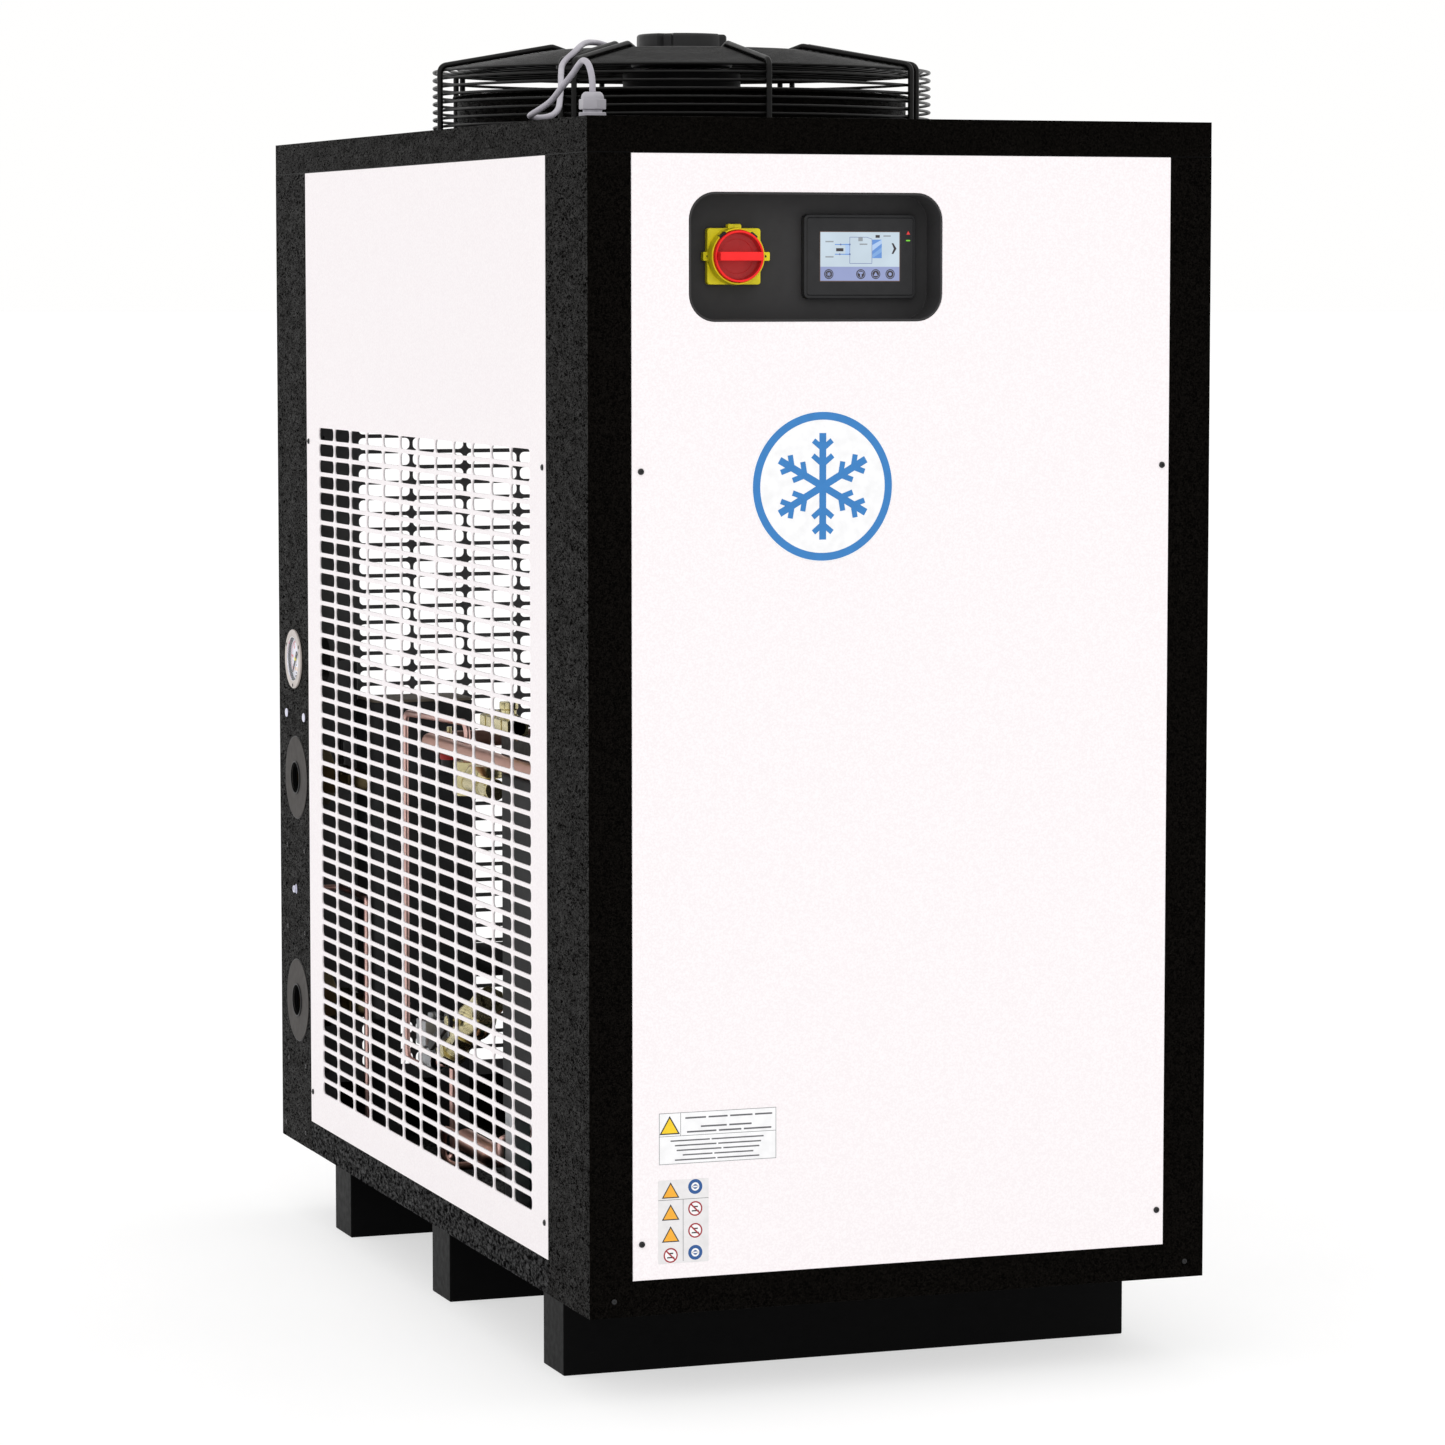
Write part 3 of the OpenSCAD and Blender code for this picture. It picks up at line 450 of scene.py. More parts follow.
def bend(points, radius, steps=8):
    """Points of a line with its corners turned into arcs."""
    points = [Vector(p) for p in points]
    result = [points[0]]
    for before, corner, after in zip(points, points[1:], points[2:]):
        a, b = (before - corner).normalized(), (after - corner).normalized()
        half = math.acos(max(-1, min(1, a.dot(b)))) / 2
        reach = radius / math.tan(half)
        centre = corner + (a + b).normalized() * radius / math.sin(half)
        start, end = (corner + a * reach - centre).normalized(), (corner + b * reach - centre).normalized()
        result += [centre + start.slerp(end, k / steps) * radius for k in range(steps + 1)]
    return result + [points[-1]]


def smooth_line(points, steps=6):
    """Catmull-Rom curve through the points."""
    points = [Vector(p) for p in points]
    last = len(points) - 1
    result = []
    for i in range(last):
        p0, p1, p2, p3 = (points[max(min(i + k, last), 0)] for k in (-1, 0, 1, 2))
        for k in range(steps):
            t = k / steps
            result.append(0.5 * (2 * p1 + (p2 - p0) * t + (2 * p0 - 5 * p1 + 4 * p2 - p3) * t * t
                                 + (3 * p1 - p0 - 3 * p2 + p3) * t ** 3))
    return result + [points[-1]]


def hexagon(size):
    """Function that gives a hexagon's points, by its distance across flats."""
    return circle(size / math.sqrt(3), 6, math.pi / 6)


def hex_nut(bm, size, low, high, mat=0, matrix=None, chamfer=0.8):
    """Hexagonal nut body with chamfered corners."""
    slab(bm, hexagon(size), low, high, chamfer, mat, matrix, steps=2)


def along_y(x, y, z):
    """Matrix whose local z runs from front to rear."""
    return Matrix.Translation((x, y, z)) @ Matrix.Rotation(math.radians(-90), 4, "X")


def along_x(x, y, z):
    """Matrix whose local z runs from left to right."""
    return Matrix.Translation((x, y, z)) @ Matrix.Rotation(math.radians(90), 4, "Y")


def upright(x, y, z):
    """Matrix that moves a drawing without turning it."""
    return Matrix.Translation((x, y, z))


def solid(name, bm, matrix, body, materials, replaces=(), sharp=32, weighted=True):
    """Turns a millimetre drawing into a piece that rides on a body and stands for CAD nodes."""
    bm.transform(matrix)
    bmesh.ops.recalc_face_normals(bm, faces=bm.faces)
    limit = math.radians(sharp)
    for face in bm.faces:
        face.smooth = True
    for edge in bm.edges:
        if len(edge.link_faces) != 2 or edge.calc_face_angle(0) > limit:
            edge.smooth = False
    mesh = bpy.data.meshes.new(name)
    bm.to_mesh(mesh)
    bm.free()
    for material in materials:
        mesh.materials.append(material)
    piece = bpy.data.objects.new(name, mesh)
    bpy.context.scene.collection.objects.link(piece)
    if weighted:
        modifier = piece.modifiers.new("normals", "WEIGHTED_NORMAL")
        modifier.keep_sharp = True
    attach(piece, body)
    if replaces:
        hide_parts(*replaces)
    return piece


def softened(node, width, material, steps=3):
    """Copy of a CAD node with its sharp edges rounded, which stands for it."""
    bm = bmesh.new()
    bm.from_mesh(NODES[node].data)
    bmesh.ops.remove_doubles(bm, verts=bm.verts, dist=0.00001)
    bmesh.ops.dissolve_limit(bm, angle_limit=math.radians(1), verts=bm.verts, edges=bm.edges)
    piece = solid(node + "_finished", bm, Matrix.Identity(4), "cabinet", [material], [node],
                  weighted=False)
    rounding = piece.modifiers.new("rounding", "BEVEL")
    rounding.width = width * MM
    rounding.segments = steps
    rounding.limit_method = "ANGLE"
    rounding.angle_limit = math.radians(40)
    rounding.use_clamp_overlap = True
    normals = piece.modifiers.new("normals", "WEIGHTED_NORMAL")
    normals.keep_sharp = False
    for edge in piece.data.edges:
        edge.use_edge_sharp = False
    return piece


def repaint(node, material):
    """A CAD node that keeps its own shape gets a finished material."""
    mesh = NODES[node].data
    mesh.materials.clear()
    mesh.materials.append(material)


# ---------------------------------------------------------------- camera


def make_camera():
    """Long lens, low in front of the left front corner."""
    data = bpy.data.cameras.new("camera")
    data.lens = 126.64
    data.sensor_width = 36
    data.clip_end = 200
    camera = bpy.data.objects.new("camera", data)
    bpy.context.scene.collection.objects.link(camera)
    camera.location = at(-1709.5, -5170.5, 1123.8)
    turn, fall = math.radians(19.812), math.radians(-4.960)
    way = Vector((math.sin(turn) * math.cos(fall), math.cos(turn) * math.cos(fall), math.sin(fall)))
    camera.rotation_euler = way.to_track_quat("-Z", "Y").to_euler()
    bpy.context.scene.camera = camera


make_camera()

# ---------------------------------------------------------------- fan cable

CABLE_ROUTE = [
    (36, 90, 1312), (36, 90, 1328), (36, 90, 1337), (36, 94, 1348), (36, 105, 1359),
    (36, 122, 1363), (36, 140, 1358), (34.5, 154, 1350), (30, 184, 1334), (26, 205, 1322), (20, 224, 1314),
    (17, 244, 1309), (20, 262, 1307), (32, 280, 1306), (48, 297, 1307), (65, 318, 1311),
    (79, 342, 1319), (90, 370, 1331), (101, 400, 1346), (118, 452, 1362), (140, 512, 1377),
    (160, 532, 1391), (190, 584, 1404), (222, 640, 1408), (244, 670, 1407), (262, 691, 1404),
    (285, 704, 1401), (310, 714, 1400)]
CABLE_D = 7


def fan_cable():
    """The fan's cable, from its gland over the roof and the guard to the motor."""
    line = [at(*p) for p in smooth_line(CABLE_ROUTE[1:])]
    curve = bpy.data.curves.new("fan_cable_finished", "CURVE")
    curve.dimensions = "3D"
    curve.bevel_depth = CABLE_D / 2 * MM
    curve.bevel_resolution = 6
    curve.use_fill_caps = True
    spline = curve.splines.new("POLY")
    spline.points.add(len(line) - 1)
    for point, place_of in zip(spline.points, line):
        point.co = (*place_of, 1)
    curve.materials.append(SHEATH)
    cable = bpy.data.objects.new("fan_cable_finished", curve)
    bpy.context.scene.collection.objects.link(cable)
    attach(cable, "cabinet")
    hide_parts("fan_cable")


fan_cable()

# ---------------------------------------------------------------- frame and panels

PANEL_LOW = 39.1
PANEL_HIGH = ROOF - CAP_H - 0.6
SLOT_W, SLOT_H, SLOT_R = 69.6, 15.4, 6
COLUMN_PITCH, ROW_PITCH = 74, 20.46
GRILLE_TOP, ROWS = 938.6, 42
SKIN = 2.0


def perforated(bm, width, columns, hole):
    """Sheet of the given width with a field of round-cornered slots, and perhaps one round hole given as
    (across, up, radius). Its outer face is at z = 0."""
    field = (columns - 1) * COLUMN_PITCH + SLOT_W
    web = COLUMN_PITCH - SLOT_W
    bar = ROW_PITCH - SLOT_H
    first = (width - field) / 2 - web / 2
    top = GRILLE_TOP + bar / 2
    us = [0.6] + [first + c * COLUMN_PITCH for c in range(columns + 1)] + [width - 0.6]
    vs = [PANEL_LOW] + [top - r * ROW_PITCH for r in range(ROWS, -1, -1)] + [PANEL_HIGH]
    levels = (0.0, -SKIN * 0.78, -SKIN)
    grid = {}

    def vert(u, v, level):
        key = (round(u, 3), round(v, 3), level)
        if key not in grid:
            grid[key] = bm.verts.new((u, v, levels[level]))
        return grid[key]

    def sheet_face(corners):
        bm.faces.new([vert(*p, 0) for p in corners]).material_index = 0
        bm.faces.new([vert(*p, 2) for p in reversed(corners)]).material_index = 1

    for i, (u0, u1) in enumerate(zip(us, us[1:])):
        for j, (v0, v1) in enumerate(zip(vs, vs[1:])):
            corners = [(u1, v1), (u0, v1), (u0, v0), (u1, v0)]
            if 0 < i < len(us) - 2 and 0 < j < len(vs) - 2:
                slot = box_outline(SLOT_W, SLOT_H, SLOT_R, 5, (u0 + u1) / 2, (v0 + v1) / 2)()
            elif hole and u0 < hole[0] < u1 and v0 < hole[1] < v1:
                slot = box_outline(2 * hole[2], 2 * hole[2], hole[2] - 0.3, 8, hole[0], hole[1])()
            else:
                sheet_face(corners)
                continue
            per = len(slot) // 4
            for q in range(4):
                arc = slot[q * per:(q + 1) * per]
                nxt = slot[(q + 1) % 4 * per]
                for a, b in zip(arc, arc[1:]):
                    sheet_face([corners[q], b, a])
                sheet_face([corners[q], corners[(q + 1) % 4], nxt, arc[-1]])
            for a, b in zip(slot, slot[1:] + slot[:1]):
                bm.faces.new((vert(*a, 0), vert(*b, 0), vert(*b, 1), vert(*a, 1))).material_index = 0
                bm.faces.new((vert(*a, 1), vert(*b, 1), vert(*b, 2), vert(*a, 2))).material_index = 2
    rim = [(u, vs[0]) for u in us] + [(us[-1], v) for v in vs[1:]]
    rim += [(u, vs[-1]) for u in us[-2::-1]] + [(us[0], v) for v in vs[-2:0:-1]]
    for a, b in zip(rim, rim[1:] + rim[:1]):
        bm.faces.new((vert(*a, 0), vert(*a, 2), vert(*b, 2), vert(*b, 0))).material_index = 0


def grille_panels():
    """Slotted sheets of both sides and of the rear."""
    side = DEPTH - FRONT_POST_D - REAR_POST_D
    gland_hole = (WIDTH - POST_W - POWER_GLAND[0], POWER_GLAND[1], 12.4)
    for name, face, width, columns, corner, hole in (
            ("left_panel", "left", side, 12, (0, DEPTH - REAR_POST_D, 0), None),
            ("right_panel", "right", side, 12, (WIDTH, FRONT_POST_D, 0), None),
            ("rear_panel", "rear", WIDTH - 2 * POST_W, 7, (WIDTH - POST_W, DEPTH, 0), gland_hole)):
        bm = bmesh.new()
        perforated(bm, width, columns, hole)
        # Inner faces of the sheets get the dark grey painted shade.
        solid(name + "_finished", bm, on(face, *corner), "cabinet", [WHITE, INSIDE_SHADE, EDGE],
              [name], weighted=False)


def front_panel():
    """Plain sheet with the round-cornered opening for the controls."""
    bm = bmesh.new()
    low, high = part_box("front_panel")
    low, high = place(low), place(high)
    per = 11
    corners = [(high.x, high.z), (low.x, high.z), (low.x, low.z), (high.x, low.z)]
    loops = []
    for z in (0.0, -0.5, -SKIN):
        inset = 0.0 if z else 0.5
        outer = [bm.verts.new((x - inset * (1 if x > 300 else -1), y - inset * (1 if y > 600 else -1), z))
                 for x, y in corners]
        inner = ring_of(bm, box_outline(294, 139.5, 30, 10, 262, 1150)(-0.8 * inset), z)
        loops.append((outer, inner))
    for (outer, inner), mat in ((loops[0], 0), (loops[-1], 1)):
        for q in range(4):
            arc = inner[q * per:(q + 1) * per]
            nxt = inner[(q + 1) % 4 * per]
            for a, b in zip(arc, arc[1:]):
                bm.faces.new((outer[q], b, a)).material_index = mat
            bm.faces.new((outer[q], outer[(q + 1) % 4], nxt, arc[-1])).material_index = mat
    for a, b in zip(loops, loops[1:]):
        for one, two in zip(a, b):
            for k in range(len(one)):
                n = (k + 1) % len(one)
                bm.faces.new((one[k], one[n], two[n], two[k]))
    solid("front_panel_finished", bm, on("front", 0, 0, 0), "cabinet", [WHITE, INSIDE_SHADE],
          ["front_panel"], sharp=60)


def cabinet_frame():
    """Posts, cap, rails, tray and beams with rounded edges. The inner lips of the rear posts get the
    painted shade of the panels' inner faces, and a dark seam runs under the cap."""
    for node in ("front_left_post", "front_right_post", "rear_left_post", "rear_right_post"):
        post = softened(node, 1.1, POWDER)
        post.data.materials.append(INSIDE_SHADE)
        # Faces on the rear posts' inner lips take the dark grey painted shade.
        for face in post.data.polygons:
            spot = place(face.center)
            if 50 < spot.x < WIDTH - 50 and spot.y > DEPTH - 30:
                face.material_index = 1
    softened("roof_cap", 1.1, POWDER_FINE)
    for node in ("front_rail", "rear_rail"):
        softened(node, 0.9, POWDER)
    for node in ("left_rail", "right_rail"):
        softened(node, 0.9, SPECKLE)
    softened("base_tray", 0.5, POWDER, 2)
    for node in ("front_foot", "middle_foot", "rear_foot"):
        softened(node, 1.6, FOOT)
    repaint("port_bracket", POWDER)
    bm = bmesh.new()
    z = ROOF - CAP_H
    corners = [(0.5, 0.5, z), (WIDTH - 0.5, 0.5, z), (WIDTH - 0.5, DEPTH - 0.5, z), (0.5, DEPTH - 0.5, z)]
    for start, end in zip(corners, corners[1:] + corners[:1]):
        sweep(bm, [start, end], 0.75, 10)
    solid("roof_seam", bm, HOME, "cabinet", [FOOT])


# ---------------------------------------------------------------- screws


def screw_head(bm, matrix, radius, height, socket=True):
    """Button head with a hexagonal socket."""
    hex_r = radius * 0.42
    top = height
    dome = [(radius, 0.0), (radius, height * 0.35), (radius * 0.93, height * 0.68),
            (radius * 0.75, height * 0.92), (radius * 0.58, top)]
    steps = 24
    revolve(bm, dome, steps, 0, matrix)
    rim = [v for v in bm.verts if v.is_valid][-steps:]
    if not socket:
        bm.faces.new(rim)
        return
    inner = []
    for k in range(steps):
        a = 2 * math.pi * k / steps
        flat = math.cos(math.radians(30)) / math.cos((a % math.radians(60)) - math.radians(30))
        inner.append((hex_r * flat * math.cos(a), hex_r * flat * math.sin(a)))
    upper = ring_of(bm, inner, top, matrix)
    lower = ring_of(bm, inner, top * 0.35, matrix)
    skin(bm, [rim, upper, lower], 0, caps=(False, True))


def screws():
    """Panel screws on all four sides, the frame's own screws and the blind plugs."""
    sheet_screws = bmesh.new()
    small = bmesh.new()
    heights = (79, 920)
    places = [("front", x, 0, z) for x in (60, WIDTH - 58) for z in heights]
    places += [("rear", x, DEPTH, z) for x in (60, WIDTH - 58) for z in heights]
    sides = (FRONT_POST_D + 12.6, DEPTH - REAR_POST_D - 10)
    places += [("left", 0, y, z) for y in sides for z in heights]
    places += [("right", WIDTH, y, z) for y in sides for z in heights]
    back = HOME.inverted()
    for face, x, y, z in places:
        screw_head(sheet_screws, back @ on(face, x, y, z), 3.5, 1.8)
    solid("panel_screws_finished", sheet_screws, HOME, "cabinet", [SCREW], ["panel_screws"])
    rows = [(y, z) for y in (PORT_Y - 39, PORT_Y + 45) for z in (107, 281.5, 388.4)]
    for y, z in rows + [(PORT_Y - 36, 19), (PORT_Y + 61, 19)]:
        screw_head(small, back @ on("left", 0, y, z), 3.0, 1.2)
    for x in (28, WIDTH - 22.7):
        screw_head(small, back @ on("front", x, 0, 18), 3.0, 1.2)
    solid("frame_screws_finished", small, HOME, "cabinet", [SCREW], ["frame_screws"])
    plugs = bmesh.new()
    for y in (PORT_Y - 39, PORT_Y + 46):
        screw_head(plugs, back @ on("left", 0, y, 562), 5.8, 1.5, socket=False)
    solid("blind_plugs_finished", plugs, HOME, "cabinet", [PALE], ["blind_plugs"])


cabinet_frame()
grille_panels()
front_panel()
screws()

# ---------------------------------------------------------------- fan, guard and motor

FAN = (WIDTH / 2, 738)
ARM_LINE = [(308, 3), (308, 81.5), (166, 106.5), (146, 100), (66, 100)]
WIRE_DROP = 5.3
WIRE_R = 1.75
ON_ROOF = on("top", FAN[0], FAN[1], ROOF)


def arm_height(radius):
    """Height of a guard arm's centreline above the roof."""
    for (r0, h0), (r1, h1) in zip(ARM_LINE[1:], ARM_LINE[2:]):
        if r1 <= radius <= r0:
            return h0 + (h1 - h0) * (r0 - radius) / (r0 - r1)
    return ARM_LINE[-1][1]


def fan_ring():
    """Ring round the blades, with its flange on the roof and a rolled upper lip."""
    bm = bmesh.new()
    revolve(bm, [(271, 0), (317.6, 0), (318, 0.5), (318, 2.4), (317.3, 3), (277, 3), (275, 3.8),
                 (274, 6), (274, 43), (275, 44.6), (277, 45.2), (279.2, 45.4), (280, 46.4),
                 (279.4, 47.6), (278, 48), (273, 48), (271.6, 47.2), (271, 45.5)], 120, closed=True)
    solid("fan_ring_finished", bm, ON_ROOF, "cabinet", [POWDER], ["fan_ring"])


def guard():
    """Wire guard: rings round its side and top, single arms on the axes and double on the diagonals."""
    bm = bmesh.new()
    for i in range(8):
        hoop(bm, 302.7, 77 - 9.6 * i, WIRE_R)
    solid("guard_side_wires_finished", bm, ON_ROOF, "cabinet", [WIRE], ["guard_side_wires"])
    bm = bmesh.new()
    for i in range(22):
        radius = 86 + 9.9 * i
        hoop(bm, radius, arm_height(radius) - WIRE_DROP, WIRE_R, 72 if radius < 150 else 120, 8)
    solid("guard_top_wires_finished", bm, ON_ROOF, "cabinet", [WIRE], ["guard_top_wires"])
    bm = bmesh.new()
    profile = bend([(r, 0, h) for r, h in ARM_LINE], 9)
    for k in range(8):
        a = math.pi / 4 * k
        for offset in ((0,) if k % 2 == 0 else (-8.4, 8.4)):
            line = [(p.x * math.cos(a) - offset * math.sin(a), p.x * math.sin(a) + offset * math.cos(a), p.z)
                    for p in profile]
            sweep(bm, line, 3.5, 14)
    solid("guard_arms_finished", bm, ON_ROOF, "cabinet", [WIRE], ["guard_arms"])


def motor():
    """Flat external-rotor motor under the guard's arms, with a notched cap on top."""
    bm = bmesh.new()
    revolve(bm, [(0, 93.5), (79.4, 93.5), (80, 94), (80, 96), (79.4, 96.5), (0, 96.5)], 72)
    revolve(bm, [(0, 83), (58, 83), (61, 84.5), (62, 87), (62, 106.5), (61.2, 108), (0, 108)], 72)
    revolve(bm, [(0, 18), (7.6, 18), (7.9, 18.4), (7.9, 84), (0, 84)], 32)
    solid("fan_motor_finished", bm, ON_ROOF, "cabinet", [MOTOR], ["fan_motor"])
    bm = bmesh.new()

    def notched(inset=0.0):
        points = []
        for k in range(144):
            turn = k * 2.5
            near = abs((turn - 48.5 + 45) % 90 - 45)
            radius = 54.9 - inset - (8 if near < 8 else 4 if near < 10.5 else 0)
            points.append((radius * math.cos(math.radians(turn)), radius * math.sin(math.radians(turn))))
        return points

    slab(bm, notched, 108, 124, 3.6, steps=5, edges=(False, True))
    for k in range(4):
        a = math.radians(90 * k + 93.5)
        screw_head(bm, upright(42 * math.cos(a), 42 * math.sin(a), 122.4), 3, 1.5)
    solid("motor_cap_finished", bm, ON_ROOF, "cabinet", [MOTOR], ["motor_cap"], sharp=40)


def blade(bm, turn):
    """Swept, twisted and cambered fan blade that starts inside the hub."""
    rows = []
    spans, chords = 14, 12
    for i in range(spans + 1):
        t = i / spans
        radius = 66 + (259 - 66) * t
        chord = 104 + 26 * math.sin(math.pi * min(t * 0.62, 1))
        pitch = math.radians(36 - 13 * t)
        lead = turn + 0.24 * t * t
        row = []
        for j in range(chords + 1):
            s = j / chords - 0.5
            camber = 7 * (1 - 4 * s * s)
            across = s * chord * math.cos(pitch) - camber * math.sin(pitch)
            height = 27.5 + s * chord * math.sin(pitch) * 0.6 + camber * math.cos(pitch) * 0.5
            angle = lead + across / max(radius, 92)
            row.append((radius, angle, height, 1.9 * (1 - 4 * s * s) ** 0.5 + 0.35))
        rows.append(row)

    def side(way):
        return [[bm.verts.new((r * math.cos(a), r * math.sin(a), h + way * thick))
                 for r, a, h, thick in row] for row in rows]

    upper, lower = side(1), side(-1)
    for i in range(spans):
        for j in range(chords):
            bm.faces.new((upper[i][j], upper[i][j + 1], upper[i + 1][j + 1], upper[i + 1][j]))
            bm.faces.new((lower[i][j], lower[i + 1][j], lower[i + 1][j + 1], lower[i][j + 1]))
        for j in (0, chords):
            corners = (upper[i][j], upper[i + 1][j], lower[i + 1][j], lower[i][j])
            bm.faces.new(corners if j == 0 else corners[::-1])
    for i in (0, spans):
        for j in range(chords):
            corners = (upper[i][j], upper[i][j + 1], lower[i][j + 1], lower[i][j])
            bm.faces.new(corners[::-1] if i == 0 else corners)


def impeller():
    """Hub with six blades."""
    bm = bmesh.new()
    revolve(bm, [(8.05, 16), (69, 16), (71.2, 17), (72, 19), (72, 75), (70.8, 78.4), (68, 80),
                 (8.05, 80)], 72, closed=True)
    for k in range(6):
        blade(bm, 2 * math.pi * k / 6)
    solid("fan_impeller_finished", bm, ON_ROOF, "fan", [BLADE], ["fan_impeller"], sharp=50)


def gland(bm, matrix, bore):
    """Cable gland that stands on a sheet: flange, thread, hexagon and clamping dome."""
    revolve(bm, [(bore, -12), (11.4, -12), (11.4, 0), (14.4, 0), (14.9, 0.5), (14.9, 5.4), (14.4, 6),
                 (10.6, 6), (10.6, 9), (bore, 9)], 48, 0, matrix, closed=True)
    hex_nut(bm, 26, 9, 20.4, 0, matrix, 1.1)
    revolve(bm, [(bore, 20), (12.6, 20.2), (12.6, 22.4), (12.2, 24.2), (11.2, 26.2), (9.6, 27.6),
                 (8.4, 28.1), (bore + 0.6, 28.2), (bore, 27.6)], 12, 0, matrix, closed=True)
    revolve(bm, [(bore, 16), (bore + 0.5, 16), (bore + 0.5, 28.0), (bore, 28.0)], 32, 0, matrix, closed=True)


def glands():
    """Glands of the fan's cable and of a mains lead, and the cable tie."""
    bm = bmesh.new()
    gland(bm, upright(36, 90, ROOF), 3.55)
    gland(bm, HOME.inverted() @ on("rear", POWER_GLAND[0], DEPTH, POWER_GLAND[1]), 6.5)
    solid("cable_glands_finished", bm, HOME, "cabinet", [GREY_PLASTIC], ["cable_glands"])
    softened("cable_tie", 0.5, BLACK_PLASTIC)


# ---------------------------------------------------------------- controls

RECESS_DEPTH = 40
SWITCH_AT = (178, 1150.8)
SCREEN_AT = (324.4, 1150.8)


def flat(bm, points, z, mat):
    """One flat printed shape."""
    face = bm.faces.new([bm.verts.new((x, y, z)) for x, y in points])
    face.material_index = mat


def bar(bm, x, y, width, height, z, mat, radius=0.0):
    """Printed bar, with its lower left corner at x, y."""
    if radius:
        flat(bm, box_outline(width, height, radius, 4, x + width / 2, y + height / 2)(), z, mat)
    else:
        flat(bm, [(x, y), (x + width, y), (x + width, y + height), (x, y + height)], z, mat)


def disc(bm, x, y, radius, z, mat, steps=40):
    """Printed disc."""
    flat(bm, [(x + px, y + py) for px, py in circle(radius, steps)()], z, mat)


def ring(bm, x, y, outer, inner, z, mat, steps=40):
    """Printed ring."""
    big = [bm.verts.new((x + px, y + py, z)) for px, py in circle(outer, steps)()]
    small = [bm.verts.new((x + px, y + py, z)) for px, py in circle(inner, steps)()]
    for k in range(steps):
        n = (k + 1) % steps
        bm.faces.new((big[k], big[n], small[n], small[k])).material_index = mat


def line(bm, start, end, width, z, mat):
    """Printed line between two places."""
    a, b = Vector(start), Vector(end)
    side = (b - a).normalized().orthogonal() * width / 2
    flat(bm, [a - side, b - side, b + side, a + side][::-1], z, mat)


def switch():
    """Yellow plate with side tabs, and the red knob with its bar, here at off."""
    home = on("front", SWITCH_AT[0], RECESS_DEPTH, SWITCH_AT[1])
    bm = bmesh.new()
    slab(bm, box_outline(61.5, 61, 3), 0, 8, 0.9)
    slab(bm, box_outline(77, 9.6, 1.5, 4, 3, 0), 0, 8.4, 0.7)
    slab(bm, box_outline(15, 12, 1.2, 4, 0.5, 29), 0, 8, 0.7)
    slab(bm, box_outline(8, 6, 0.8, 3, 4, 31), 7.9, 9.4, 0.4)
    revolve(bm, [(5.2, 7), (30.2, 7), (31, 7.8), (31, 11), (30.6, 21.4), (30.2, 22), (29.2, 22),
                 (28.6, 21.4), (28.6, 11.2), (5.2, 11.2)], 72, closed=True)
    # Black blocks in the ring's two notches: painted shade standing for the openings.
    for turn in (128, 52):
        slot_at = Matrix.Rotation(math.radians(turn), 4, "Z") @ upright(28.9, 0, 0)
        slab(bm, box_outline(3.6, 9, 1.2, 3), 12, 22.3, 0.1, 1, slot_at)
    # Black discs inside the tabs' small rings: painted shade for the holes.
    for x in (-31, 36):
        revolve(bm, [(1.5, 8.4), (2.5, 8.4), (2.5, 9.1), (1.5, 9.1)], 6, 0, upright(x, 0, 0), closed=True)
        revolve(bm, [(0, 8.45), (1.5, 8.45)], 6, 1, upright(x, 0, 0))
    solid("switch_plate_finished", bm, home, "cabinet", [YELLOW, BLACK_PLASTIC],
          ["switch_plate"])
    bm = bmesh.new()
    revolve(bm, [(3.95, 12.5), (27.4, 12.5), (28, 13.2), (28, 25.9), (27.6, 26.4), (26.5, 26.6),
                 (25.7, 26)], 72, 0)
    # The sunk inner face is darker red: painted shade in the knob's hollow.
    revolve(bm, [(25.7, 26), (25, 19), (24.2, 17.6), (19, 17), (18.4, 16.4), (0, 15.6)], 72, 1)
    slab(bm, box_outline(49.8, 9.6, 1.2), 15.4, 34.5, 1.0, 0, edges=(False, True))
    bmesh.ops.remove_doubles(bm, verts=bm.verts, dist=0.001)
    solid("switch_knob_finished", bm, home, "switch", [RED, DARK_RED], ["switch_knob"])
    repaint("switch_shaft", STEEL)
    repaint("switch_body", BLACK_PLASTIC)


def bezel():
    """Touch screen's bezel, a raised inner frame with the window sunk into it, and the status lamps."""
    home = on("front", SCREEN_AT[0], RECESS_DEPTH, SCREEN_AT[1])
    bm = bmesh.new()
    outer = box_outline(131.5, 91.7, 6, 6)
    window = box_outline(94.3, 54.5, 0.6, 6, -0.2, 0.1)
    rings = []
    for inset, z in ((0, 0), (0, 8.0), (0.4, 8.9), (1.3, 9.3), (3.0, 9.35), (3.3, 9.1), (3.6, 9.35),
                     (4.3, 10.0)):
        rings.append(ring_of(bm, outer(inset), z))
    for inset, z in ((-1.6, 10.0), (-1.1, 9.9), (0.1, 9.2), (0.1, 5.9)):
        rings.append(ring_of(bm, window(inset), z))
    skin(bm, rings, caps=(False, False))
    slab(bm, box_outline(119.5, 81.7, 2), -36, 1, 0.6)
    solid("screen_bezel_finished", bm, home, "cabinet", [BEZEL], ["screen_bezel"])
    bm = bmesh.new()
    flat(bm, [(53.8, 24.1), (58.2, 24.1), (56, 28)], 10.5, 1)
    bar(bm, 53.4, 16.8, 4.8, 1.5, 10.5, 0, 0.5)
    solid("status_lamps_finished", bm, home, "cabinet", [LAMP_GREEN, LAMP_RED],
          ["status_lamps"], weighted=False)


